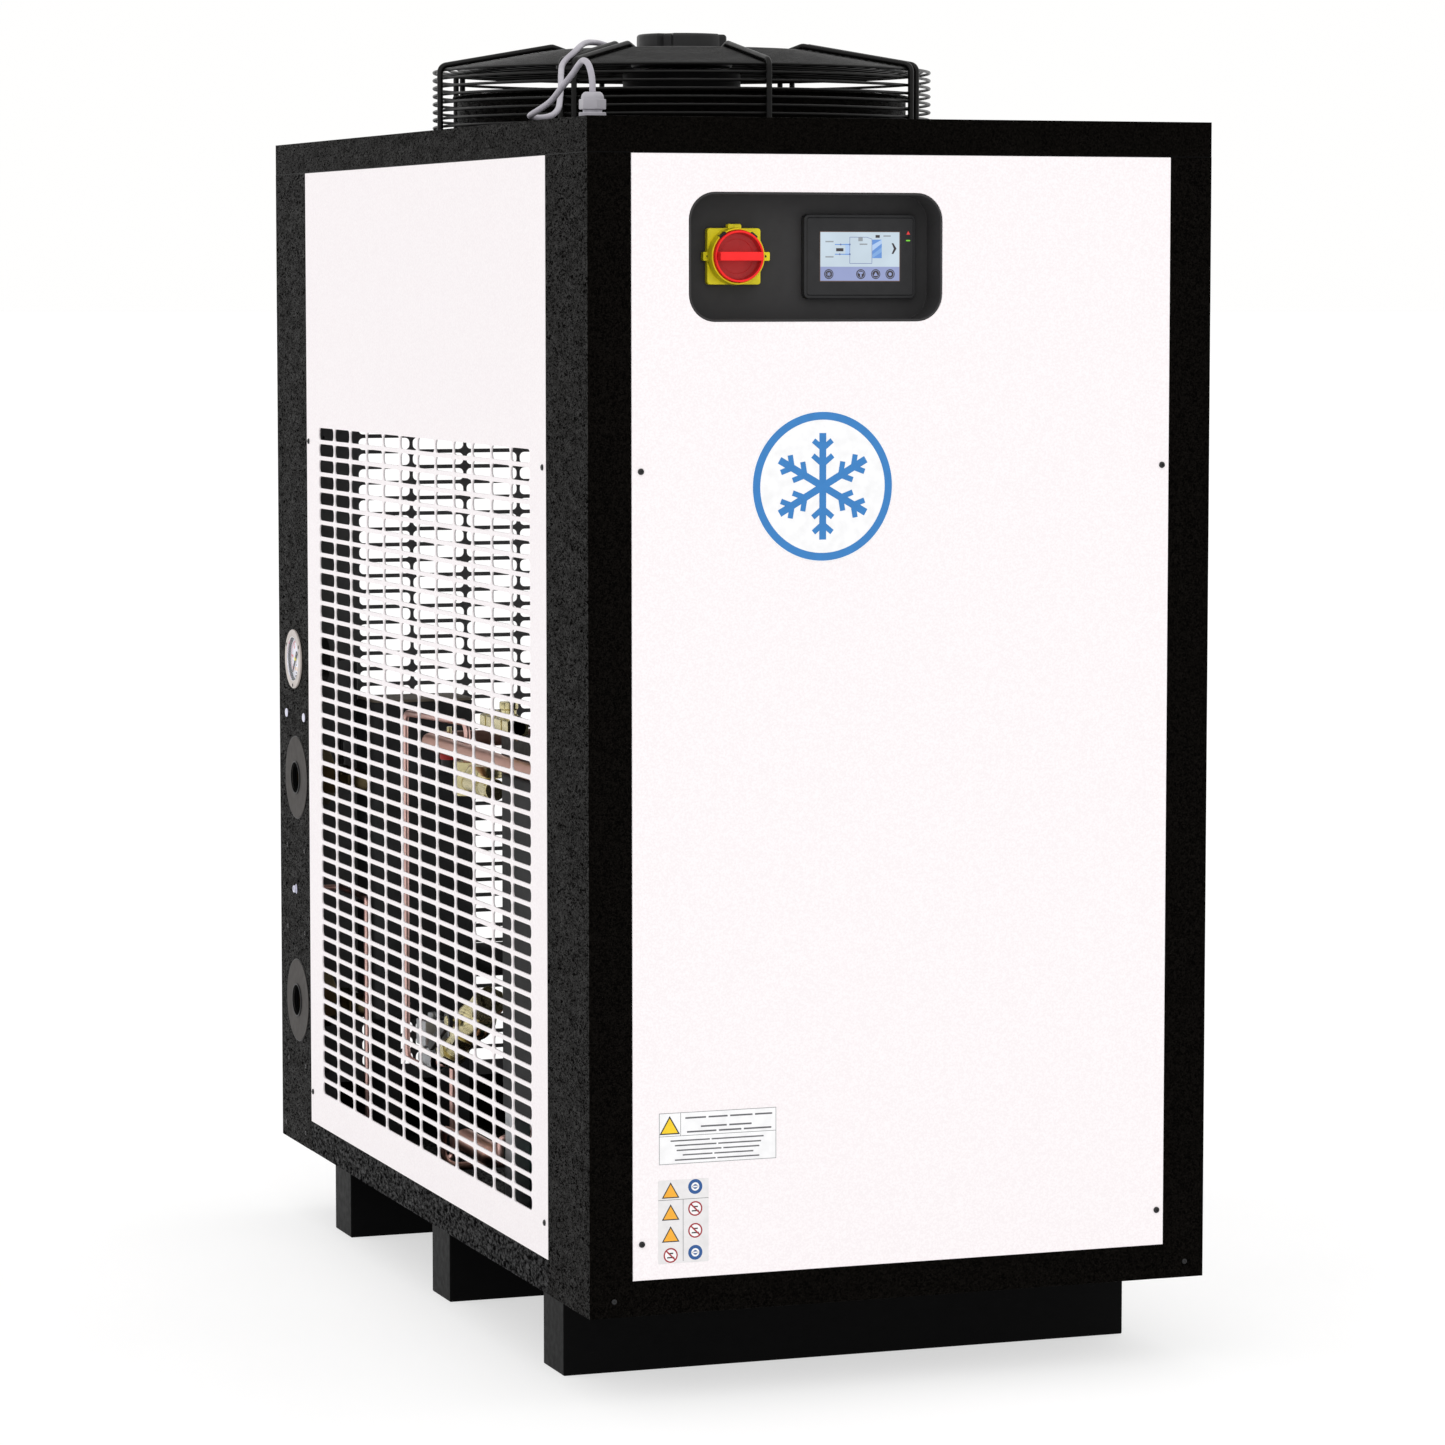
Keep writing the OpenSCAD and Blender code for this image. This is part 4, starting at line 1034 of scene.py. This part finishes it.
def screen():
    """Screen with a generic circuit picture and a row of round keys."""
    home = on("front", SCREEN_AT[0] - 0.2, RECESS_DEPTH, SCREEN_AT[1] + 0.1)
    bm = bmesh.new()
    slab(bm, box_outline(94.1, 54.3, 0.5), 6, 9, 0.1, 0)
    z = 9.04
    bar(bm, -47.05, -27.15, 94.1, 54.3, z - 0.02, 9)
    bar(bm, -46.3, -11.2, 92.6, 37.7, z - 0.01, 0)
    bar(bm, -46.3, -26.4, 92.6, 15.2, z, 1)
    for x in (-36.5, 1, 18.5, 35.5):
        disc(bm, x, -19.2, 5.4, z + 0.03, 2)
        ring(bm, x, -19.2, 4.4, 3.9, z + 0.05, 1)
    for k in range(3):
        a = math.pi / 3 * k
        line(bm, (-36.5 - 2.7 * math.cos(a), -19.2 - 2.7 * math.sin(a)),
             (-36.5 + 2.7 * math.cos(a), -19.2 + 2.7 * math.sin(a)), 0.8, z + 0.06, 1)
    flat(bm, [(0.1, -22.2), (2.0, -22.2), (2.0, -19), (3.4, -19), (3.4, -16.6), (-1.8, -16.6), (-1.8, -18.4),
              (0.1, -19)], z + 0.06, 1)
    flat(bm, [(15.9, -21.2), (21.1, -21.2), (18.5, -16.6)], z + 0.06, 1)
    disc(bm, 35.5, -19.2, 2.0, z + 0.06, 1)
    for a, b in (((-12, -7.6), (14, -7.6)), ((14, -7.6), (14, 19)), ((-12, -7.6), (-12, 21)),
                 ((-12, 21), (8, 21)), ((14, 19), (8, 21))):
        line(bm, a, b, 0.55, z + 0.03, 3)
    for y in (2.4, 13.0):
        line(bm, (-29.5, y), (-12, y), 1.0, z + 0.03, 4)
        disc(bm, -24.0 + y * 0.1, y, 1.0, z + 0.05, 3, 12)
        disc(bm, -12, y, 1.1, z + 0.05, 3, 12)
    bar(bm, -17.2, 1.4, 5.6, 12.6, z + 0.02, 5)
    bar(bm, 14.4, -1.8, 11.2, 20.2, z + 0.04, 4)
    flat(bm, [(14.4, 6), (14.4, 12.4), (25.6, 18.4), (25.6, 14.2)], z + 0.05, 5)
    flat(bm, [(14.4, -1.8), (14.4, 2.0), (25.6, 10), (25.6, 5)], z + 0.05, 6)
    flat(bm, [(37.2, 14.6), (39.2, 14.6), (43, 8.6), (39.2, 2.8), (37.2, 2.8), (39.8, 8.6)], z + 0.03, 2)
    for x, y, w in ((-40.5, 15.4, 9.5), (-40.5, -1.2, 9.5), (-0.5, 12.6, 9.2), (27.5, 21.6, 8.6)):
        bar(bm, x, y, w, 1.5, z + 0.03, 7)
    bar(bm, -28, 5.6, 8.6, 3.4, z + 0.03, 8)
    bar(bm, 18.2, 20.4, 5.0, 3.0, z + 0.03, 8)
    bar(bm, -2.0, 16.6, 5.2, 4.6, z + 0.03, 7)
    solid("screen_glass_finished", bm, home, "cabinet",
          [SCREEN_PALE, SCREEN_BAR, SCREEN_DARK, SCREEN_LINE, SCREEN_BLUE, SCREEN_LIGHT, SCREEN_MID,
           SCREEN_GREY, SCREEN_DARK, SCREEN_RIM], ["screen_glass"], weighted=False)


# ---------------------------------------------------------------- badge and labels


def badge():
    """Round generic badge: a ring with a snowflake."""
    bm = bmesh.new()
    slab(bm, circle(82, 96), 0, 0.55, 0.15, 0)
    ring(bm, 0, 0, 81, 72.5, 0.6, 1, 96)
    for k in range(6):
        a = math.pi / 3 * k + math.pi / 6
        way, side = Vector((math.cos(a), math.sin(a))), Vector((-math.sin(a), math.cos(a)))
        line(bm, way * -2, way * 58, 8, 0.61 + 0.01 * k, 1)
        for reach, twig in ((24, 15), (41, 14)):
            for s in (-1, 1):
                start = way * reach
                end = start + (way * 0.64 + side * s * 0.77) * twig
                line(bm, start, end, 6, 0.68 + 0.01 * k + 0.004 * s, 1)
    solid("badge_finished", bm, on("front", 269, 0, 901.5), "cabinet", [PRINT_WHITE, PRINT_BLUE],
          ["badge"], weighted=False)


def triangle_mark(bm, x, y, size, z, fill):
    """Plain triangle with a dark border."""
    for grow, mat, lift in ((1.0, 2, 0), (0.8, fill, 0.03)):
        r = size * grow / 1.5
        flat(bm, [(x + r * math.cos(a), y - size * 0.17 + r * math.sin(a))
                  for a in (math.pi / 2, math.pi * 7 / 6, math.pi * 11 / 6)], z + lift, mat)


def labels():
    """Two generic labels: bars in place of text, plain marks in place of pictograms."""
    bm = bmesh.new()
    slab(bm, box_outline(136.6, 57, 1.2, 3, 147.7, 193.5), 0, 0.3, 0.1, 0)
    z = 0.36
    for y in (165.4, 196, 221.4):
        bar(bm, 79.8, y, 135.8, 0.5, z, 1)
    for x, y, h in ((79.8, 165.4, 56.5), (215.1, 165.4, 56.5), (104.4, 196, 25.5)):
        bar(bm, x, y, 0.5, h, z, 1)
    triangle_mark(bm, 92, 208.6, 20.5, z, 8)
    words = ((110, 214.6, 24), (137, 214.6, 22), (162, 214.6, 26), (191, 214.6, 20), (128, 204.6, 30),
             (161, 204.6, 26), (112, 199.2, 34), (149, 199.2, 26), (178, 199.2, 32))
    for x, y, w in words:
        bar(bm, x, y, w, 1.8, z, 4)
    for k, (x, w) in enumerate(((93, 108), (98, 100), (100, 96), (107, 82), (98, 98))):
        y = 190.2 - 5.3 * k
        part = w * (0.42 + 0.06 * (k % 3))
        bar(bm, x, y, part, 1.5, z, 4)
        bar(bm, x + part + 2.2, y, w - part - 2.2, 1.5, z, 4)
    slab(bm, box_outline(58.3, 92, 1.2, 3, 107.8, 102), 0, 0.3, 0.1, 5)
    bar(bm, 78.8, 126, 58.0, 0.5, z, 1)
    bar(bm, 107.2, 58, 0.5, 68, z, 1)
    rows = (139.4, 115.1, 90.9, 66.6)
    for y in rows[:3]:
        triangle_mark(bm, 93, y - 2.4, 17.6, z, 3)
    marks = ((121.5, rows[0], 6), (121.5, rows[1], 7), (121.5, rows[2], 7), (121.5, rows[3], 6),
             (93, rows[3] - 1.6, 7))
    for x, y, mat in marks:
        if mat == 6:
            disc(bm, x, y, 8.2, z + 0.02, 6)
            ring(bm, x, y, 4.6, 2.6, z + 0.04, 0)
            bar(bm, x - 3.4, y - 0.8, 6.8, 1.6, z + 0.04, 0)
        else:
            disc(bm, x, y, 7, z + 0.01, 0)
            bar(bm, x - 4.2, y - 3.2, 8.4, 1.5, z + 0.02, 2)
            bar(bm, x - 2.6, y + 1.4, 5.6, 1.5, z + 0.02, 2)
            ring(bm, x, y, 8.2, 6.6, z + 0.04, 7)
            line(bm, (x - 5, y + 5), (x + 5, y - 5), 1.7, z + 0.05, 7)
    solid("labels_finished", bm, on("front", 0, 0, 0), "cabinet",
          [PRINT_WHITE, PRINT_GREY, PRINT_BLACK, PRINT_ORANGE, PRINT_GREY, PRINT_PALE, PRINT_NAVY,
           PRINT_CRIMSON, PRINT_YELLOW], ["labels"], weighted=False)


# ---------------------------------------------------------------- gauge and air ports

GAUGE_AT = (DEPTH - 75, 635)
PORT_ZS = (481, 189)
DRAIN_AT = (DEPTH - 74, 334)


def gauge():
    """Flanged pressure gauge: painted flange, screws, bright inner ring, dial, needle and window."""
    home = on("left", 0, GAUGE_AT[0], GAUGE_AT[1])
    bm = bmesh.new()
    revolve(bm, [(28.9, 2.3), (37.7, 2.3), (38.3, 1.7), (38.3, 0), (31.5, 0)], 72, 0)
    revolve(bm, [(31.5, 0), (31.5, -40), (0, -40)], 72, 2)
    revolve(bm, [(28.9, 2.3), (28.2, 2.1), (28.2, 0.6)], 72, 1)
    revolve(bm, [(28.2, 0.6), (27.6, 0.4), (27.2, -2.7)], 72, 3)
    for k in range(3):
        a = math.radians(150 - 120 * k)
        screw_head(bm, upright(34 * math.cos(a), 34 * math.sin(a), 2.2), 2.7, 0.4)
    for face in bm.faces:
        if face.calc_center_median().xy.length > 32 and face.calc_center_median().z > 2.31:
            face.material_index = 2
    solid("gauge_case_finished", bm, home, "cabinet", [CREAM, CHROME, BLACK_PLASTIC, RUBBER],
          ["gauge_case"])
    bm = bmesh.new()
    revolve(bm, [(1.0, -2.7), (28.3, -2.7), (28.3, -4.2), (1.0, -4.2)], 64, 0, closed=True)
    z = -2.66
    for k in range(41):
        a = math.radians(225 - 270 * k / 40)
        way = Vector((math.cos(a), math.sin(a)))
        if k % 8 == 0:
            line(bm, way * 19, way * 24.4, 2.2, z, 1)
            spot = way * 16.4
            bar(bm, spot.x - 1.5, spot.y - 1.9, 3.0, 3.8, z, 1)
        else:
            line(bm, way * 21.4, way * 24.4, 1.1, z, 1)
    for x in (-5.2, 2.4):
        bar(bm, x, -15.4, 3.2, 4.8, z, 2)
    bar(bm, -1.6, -9.2, 3.2, 2.2, z, 3)
    bar(bm, -2.2, -19.4, 4.4, 2.4, z, 3)
    bar(bm, -4.2, -24, 8.4, 2.8, z, 3)
    solid("gauge_dial_finished", bm, home, "cabinet", [DIAL, PRINT_RED, PRINT_ORANGE, PRINT_BLACK],
          ["gauge_dial"], weighted=False)
    bm = bmesh.new()
    a = math.radians(-90 - 40)
    way, side = Vector((math.cos(a), math.sin(a))), Vector((-math.sin(a), math.cos(a)))
    outline = [-11 * way - 3 * side, -11 * way + 3 * side, 1.5 * side, 23 * way + 0.6 * side,
               23 * way - 0.6 * side, -1.5 * side]
    low = [bm.verts.new((*p, -1.9)) for p in outline]
    high = [bm.verts.new((*p, -1.1)) for p in outline]
    skin(bm, [low, high])
    revolve(bm, [(0, -4.1), (0.9, -4.1), (0.9, -2.2), (2.2, -2.1), (2.5, -1.8), (2.5, -0.8), (2.1, -0.5),
                 (0, -0.45)], 32, 1)
    solid("gauge_needle_finished", bm, home, "needle", [BLACK_PLASTIC, YELLOW],
          ["gauge_needle"])
    bm = bmesh.new()
    revolve(bm, [(0, 1.5), (28.1, 1.5), (28.1, 0.5), (0, 0.5)], 64)
    solid("gauge_lens_finished", bm, home, "cabinet", [WINDOW], ["gauge_lens"])


def air_ports():
    """Dark discs round the ports, each on a black ring that shows on one side as painted shadow, and the
    brass sockets behind them with their threads, in darkened brass as painted shade, with the threads
    painted near-black as shade.
    """
    bm = bmesh.new()
    for z in PORT_ZS:
        home = HOME.inverted() @ on("left", 0, PORT_Y, z)
        # A black disc under a grey one that is shifted to one side leaves a black crescent: painted shadow
        # standing for a recess round the disc.
        revolve(bm, [(21, 0), (21, 0.2), (54, 0.2), (54, 0)], 84, 1, home, closed=True)
        revolve(bm, [(21, 0.2), (21, 0.6), (21.3, 0.8), (52.5, 0.8), (52.8, 0.6), (52.8, 0.2)], 84, 0,
                home @ upright(0.9, 0, 0), closed=True)
    solid("port_discs_finished", bm, HOME, "cabinet", [DISC, BLACK_PLASTIC], ["port_discs"])
    for node, z in (("air_inlet_socket", PORT_ZS[0]), ("air_outlet_socket", PORT_ZS[1])):
        bm = bmesh.new()
        thread = []
        depth = -0.1
        while depth > -31:
            thread += [(20.6, depth), (19.6, depth - 1.1)]
            depth -= 2.2
        revolve(bm, [(21.4, -0.3), (31.6, -0.3), (32.5, -1.2), (32.5, -7.2), (30, -7.3)], 64, 0)
        revolve(bm, [(21.4, -0.3), (21.4, 2.0), (21.1, 2.3), (20.1, 2.3), (19.8, 2.0)], 64, 2)
        # The thread is painted near-black: painted shade deep in the bore.
        revolve(bm, [(19.8, 2.0)] + thread + [(19.5, -32.3), (15, -32.3), (15, -44)], 64, 1)
        hex_nut(bm, 64, -44, -6.4, 0, None, 1.5)
        solid(node + "_finished", bm, on("left", 0, PORT_Y, z), "cabinet",
              [BRASS_SHADED, FOOT, BLACK_PLASTIC], [node])
    bm = bmesh.new()
    revolve(bm, [(3, -14), (3, 2.6), (3.4, 3), (4.3, 3), (4.75, 2.5), (4.75, -1), (6.6, -1), (7, -1.5),
                 (7, -17.4), (6.4, -18), (3, -18)], 40, 0, closed=True)
    solid("drain_outlet_finished", bm, on("left", 0, *DRAIN_AT), "cabinet", [PALE],
          ["drain_outlet"])


# ---------------------------------------------------------------- cooling circuit


def pipes():
    """Copper pipes with bent corners, brazed collars and the filter drier."""
    bm = bmesh.new()
    routes = (
        (20, 30, [(240, 524, 500), (240, 801, 500), (240, 801, 563), (52, 801, 563), (52, 180, 563),
                  (52, 180, 80), (160, 180, 80), (160, 240, 80)]),
        (8, 16, [(72, 684, 547), (72, 684, 593), (72, 951, 584), (72, 951, 146), (72, 880, 146)]),
        (10, 20, [(66, 702, 85), (66, 775, 85), (66, 775, 36), (340, 775, 36), (340, 1240, 36),
                  (430, 1240, 36), (430, 1240, 1009)]),
        (8, 5, [(66, 548, 85), (66, 535, 85), (66, 535, 110), (98, 535, 110), (98, 505, 110),
                (98, 505, 147)]),
        (12, 24, [(160, 624, 80), (160, 690, 80), (450, 690, 80), (450, 690, 1009)]),
        (8, 14, [(66, 743, 179), (66, 768, 165), (66, 790, 165)]),
        (8, 9, [(66, 842, 165), (66, 858, 165), (104, 858, 165), (104, 858, 30), (60, 858, 30),
                (60, 1092, 30), (60, 1092, 334), (60, 1218, 334), (18, 1218, 334)]),
        (6, 7, [(60, 1217, 635), (82, 1217, 635), (82, 1217, 530), (61, 1210, 530), (61, 1210, 496.6)]))
    for diameter, corner, route in routes:
        # The 8 mm pipes take the lighter copper, painted light.
        mat = {6: 1, 8: 2}.get(diameter, 0)
        sweep(bm, bend(route, corner), diameter / 2, 20, mat)
        for end, inner in ((route[0], route[1]), (route[-1], route[-2])):
            way = (Vector(inner) - Vector(end)).normalized()
            sweep(bm, [Vector(end) + way * 1, Vector(end) + way * 7], diameter / 2 + 1.2, 20, mat)
    sweep(bm, [(66, 548, 85), (66, 556, 85), (66, 566, 85), (66, 570, 85), (66, 680, 85), (66, 684, 85),
               (66, 694, 85), (66, 702, 85)], [6, 7, 12, 14, 14, 12, 7, 6], 32)
    solid("copper_pipes_finished", bm, HOME, "cabinet", [COPPER, BLACK_PLASTIC, COPPER_LIT],
          ["copper_pipes"])


def valves():
    """Expansion and by-pass valves, and a pressure switch near the suction pipe."""
    bm = bmesh.new()
    hex_nut(bm, 30, 505, 547, 0, upright(72, 684, 0), 2)
    body = along_y(72, 570, 522)
    revolve(bm, [(0, 0), (12, 0), (13, 1.2), (13, 30), (10.5, 32), (10.5, 38), (13, 40), (13, 92),
                 (11, 94), (11, 109), (10, 110), (0, 110)], 36, 0, body)
    hex_nut(bm, 25, 6, 24, 0, body, 1.2)
    revolve(bm, [(0, 534), (25, 534), (26, 535.2), (25.6, 538), (20.4, 547), (19.5, 548), (0, 548)], 48, 0,
            upright(72, 610, 0))
    bypass = along_y(50, 410, 610)
    revolve(bm, [(0, 0), (9.6, 0), (10.4, 1), (10.4, 110), (9.6, 112), (0, 112)], 32, 0, bypass)
    for low, high, size in ((0, 22, 26), (30, 58, 24), (66, 84, 26), (92, 112, 24)):
        hex_nut(bm, size, low, high, 0, bypass, 1.4)
    revolve(bm, [(0, 600), (11, 600), (11, 622), (9, 624), (9, 628), (11, 630), (11, 637), (10, 638),
                 (0, 638)], 32, 0, upright(50, 445, 0))
    switch_at = upright(76, 772, 0)
    revolve(bm, [(0, 530), (9, 530), (10, 531), (10, 541), (0, 541)], 32, 2, switch_at)
    revolve(bm, [(0, 541), (11, 541), (12, 542.2), (12, 547.6), (11, 549), (0, 549)], 32, 1, switch_at)
    revolve(bm, [(0, 549), (5, 549), (5, 560), (3, 562), (3, 581), (0, 581)], 24, 0, switch_at)
    solid("refrigerant_valves_finished", bm, HOME, "cabinet", [BRASS, DARK_RED, BLACK_PLASTIC],
          ["refrigerant_valves"])


VALVE = Matrix.Translation((66, 575, 270)) @ Matrix.Rotation(math.radians(-28.4), 4, "X")


def drain():
    """Ball valve of the drain with its lever, the solenoid after it, and the air pipes."""
    pipe_way = VALVE @ Matrix.Rotation(math.radians(-90), 4, "X")
    bm = bmesh.new()
    revolve(bm, [(7, 0), (12, 0), (13, 1), (13, 40), (17, 42), (21, 48), (23.4, 57), (24, 66), (23.4, 75),
                 (21, 84), (17, 90), (13, 92), (13, 189), (12, 190), (7, 190)], 40, 0, pipe_way, closed=True)
    for low, high, size in ((0, 28, 34.6), (100, 124, 34.6), (164, 190, 32.9)):
        hex_nut(bm, size, low, high, 0, pipe_way, 1.8)
    for low in range(128, 162, 5):
        revolve(bm, [(13, low), (14.2, low + 0.8), (14.2, low + 2), (13, low + 2.8)], 36, 0, pipe_way)
    stem = VALVE @ along_x(-38, 66, 0)
    revolve(bm, [(0, 0), (6, 0), (6.9, 0.9), (6.9, 20), (9.5, 21), (9.5, 28), (0, 30)], 28, 0, stem)
    solid("drain_valve_finished", bm, HOME, "cabinet", [BRASS], ["drain_valve"])
    bm = bmesh.new()
    edge_on = Matrix(((0, 0, 1, 0), (1, 0, 0, 66), (0, 1, 0, 0), (0, 0, 0, 1)))
    frame_of = VALVE @ edge_on
    revolve(bm, [(7.05, -37), (11.4, -37), (12, -36.4), (12, -32.6), (11.4, -32), (7.05, -32)], 40, 0,
            frame_of, closed=True)
    slab(bm, box_outline(80, 12, 5, 5, 49, 0), -37, -32, 0.8, 0, frame_of)
    solid("drain_lever_finished", bm, HOME, "lever", [BLACK_PLASTIC], ["drain_lever"])
    bm = bmesh.new()
    body = along_y(66, 790, 165)
    revolve(bm, [(0, 0), (11, 0), (12, 1), (12, 51), (11, 52), (0, 52)], 32, 0, body)
    hex_nut(bm, 22, 0, 14, 0, body, 1)
    hex_nut(bm, 22, 38, 52, 0, body, 1)
    revolve(bm, [(0, 0), (8, 0), (8, 50), (6, 52), (6, 57), (5, 58), (0, 58)], 28, 0, upright(66, 816, 165))
    slab(bm, box_outline(34, 34, 4, 4, 66, 816), 183, 215, 2.4, 0)
    slab(bm, box_outline(28, 28, 3, 4, 66, 816), 181, 217, 1, 1)
    solid("drain_solenoid_finished", bm, HOME, "cabinet", [ZINC, BLACK_PLASTIC],
          ["drain_solenoid"])
    bm = bmesh.new()
    for z in PORT_ZS:
        line_of = bend([(44, PORT_Y, z), (61, PORT_Y, z), (61, 1124, z), (78, 1124, z)], 14)
        sweep(bm, line_of, 14.6, 28)
        for low, high in ((18, 44), (64, 82)):
            hex_nut(bm, 28, low, high, 0, along_y(61, PORT_Y - high, z) @ upright(0, 0, -low), 1.5)
        sweep(bm, [(44, PORT_Y, z), (49, PORT_Y, z)], 15.5, 28)
    # The air pipes take the darkened brass, painted shade.
    solid("air_pipes_finished", bm, HOME, "cabinet", [BRASS_SHADED], ["air_pipes"])


def vessels():
    """Compressor, heat-exchanger block and separator tower."""
    bm = bmesh.new()
    axis = along_y(160, 240, 80)
    revolve(bm, [(0, 0), (30, 0), (42, 5), (51, 13), (56, 22), (57, 30), (57, 354), (56, 362), (51, 371),
                 (42, 379), (30, 384), (0, 384)], 64, 0, axis)
    for low in range(60, 321, 40):
        revolve(bm, [(56.5, low), (59, low + 0.8), (60, low + 3), (60, low + 5), (59, low + 7.2),
                     (56.5, low + 8)], 64, 0, axis)
    for y in (285, 555):
        slab(bm, box_outline(130, 30, 3, 3, 160, y + 15), 3, 53, 1.5, 1)
        revolve(bm, [(57.2, y - 240 + 9), (58.6, y - 240 + 9), (58.6, y - 240 + 21), (57.2, y - 240 + 21)],
                64, 1, axis, closed=True)
    solid("compressor_finished", bm, HOME, "cabinet", [GREEN, ZINC], ["compressor"])
    bm = bmesh.new()
    slab(bm, box_outline(240, 309, 7, 5, 184, 369.5), 147, 548, 5, 0)
    for x in (78, 290):
        for y in (230, 506):
            slab(bm, box_outline(24, 24, 2, 3, x, y), 3, 150, 0.8, 1)
    slab(bm, box_outline(4, 135, 1, 3, 69, 462.5), 540, 600, 0.6, 2)
    solid("exchanger_block_finished", bm, HOME, "cabinet", [FOAM_GREY, ZINC, PLATE],
          ["exchanger_block"])
    bm = bmesh.new()
    slab(bm, box_outline(138, 92, 16, 7, 137, 1130), 175, 586, 4, 0)
    slab(bm, box_outline(134, 88, 14, 7, 137, 1130), 585, 589, 1.5, 1)
    for x in (96, 188):
        slab(bm, box_outline(24, 64, 2, 3, x, 1132), 3, 178, 0.8, 0)
    sweep(bm, bend([(200, 1130, 242), (340, 1130, 242), (340, 400, 242), (304, 400, 242)], 26), 22, 32)
    solid("separator_finished", bm, HOME, "cabinet", [FOAM, FOAM_TOP], ["separator"])


def condenser():
    """Condenser coil under the roof, with end plates, fins, tubes and return bends; and the electrical
    box and the control recess."""
    bm = bmesh.new()
    for x in (33, WIDTH - 33):
        slab(bm, box_outline(56, DEPTH - 300, 1, 3, x, DEPTH / 2), 1003, 1010, 0.5, 1)
    for x in (58, WIDTH - 58):
        slab(bm, box_outline(4, 880, 0.8, 3, x, 740), 1009, 1053, 0.4, 1)
    x = 66.0
    while x < WIDTH - 62:
        slab(bm, box_outline(1, 872, 0.3, 1, x, 740), 1012, 1050, 0.2, 0, steps=1)
        x += 6.0
    for k in range(11):
        y = 340 + 80 * k
        sweep(bm, [(52, y, 1031), (WIDTH - 52, y, 1031)], 5, 16, 2)
    for k in range(10):
        left = k % 2 == 0
        centre, start = (52, 90) if left else (WIDTH - 52, -90)
        turn = [math.radians(start + 180 * s / 12) for s in range(13)]
        y = 380 + 80 * k
        sweep(bm, [(centre + 40 * math.cos(a), y + 40 * math.sin(a), 1031) for a in turn], 5, 14, 2)
    solid("condenser_finished", bm, HOME, "cabinet", [ALUMINIUM, ZINC, COPPER],
          ["condenser"])
    softened("electrical_box", 0.8, ZINC)
    softened("control_recess", 0.7, RECESS)


fan_ring()
guard()
motor()
impeller()
glands()
switch()
bezel()
screen()
badge()
labels()
gauge()
air_ports()
pipes()
valves()
drain()
vessels()
condenser()

# ---------------------------------------------------------------- lights and stage


def make_world():
    """Even white studio all round."""
    world = bpy.data.worlds.new("studio")
    bpy.context.scene.world = world
    world.use_nodes = True
    background = world.node_tree.nodes["Background"]
    background.inputs["Color"].default_value = (1.0, 0.997, 0.992, 1)
    background.inputs["Strength"].default_value = 1.0


def make_floor():
    """Pale floor that reaches past every view."""
    bpy.ops.mesh.primitive_plane_add(size=400, location=(0, 0, 0))
    floor = bpy.context.object
    floor.name = "floor"
    paint = Paint("floor_paint", (0.42, 0.42, 0.42), 0.8, specular=0.05, Emission_Strength=0.6)
    paint.set("Emission Color", (1, 1, 1, 1))
    paint.tint(paint.noise(400, 2), (0.43, 0.43, 0.43))
    floor.data.materials.append(paint.material)


def make_sun(name, azimuth, height, strength, size):
    """Very soft parallel light from an azimuth, where 0 is in front and 90 on the left."""
    data = bpy.data.lights.new(name, "SUN")
    data.energy = strength
    data.angle = math.radians(size)
    light = bpy.data.objects.new(name, data)
    bpy.context.scene.collection.objects.link(light)
    turn, rise = math.radians(azimuth), math.radians(height)
    source = Vector((-math.sin(turn) * math.cos(rise), -math.cos(turn) * math.cos(rise), math.sin(rise)))
    light.rotation_euler = source.to_track_quat("Z", "Y").to_euler()


make_world()
make_floor()
make_sun("key", 20, 42, 0.42, 60)
bpy.context.scene.view_settings.view_transform = "Standard"
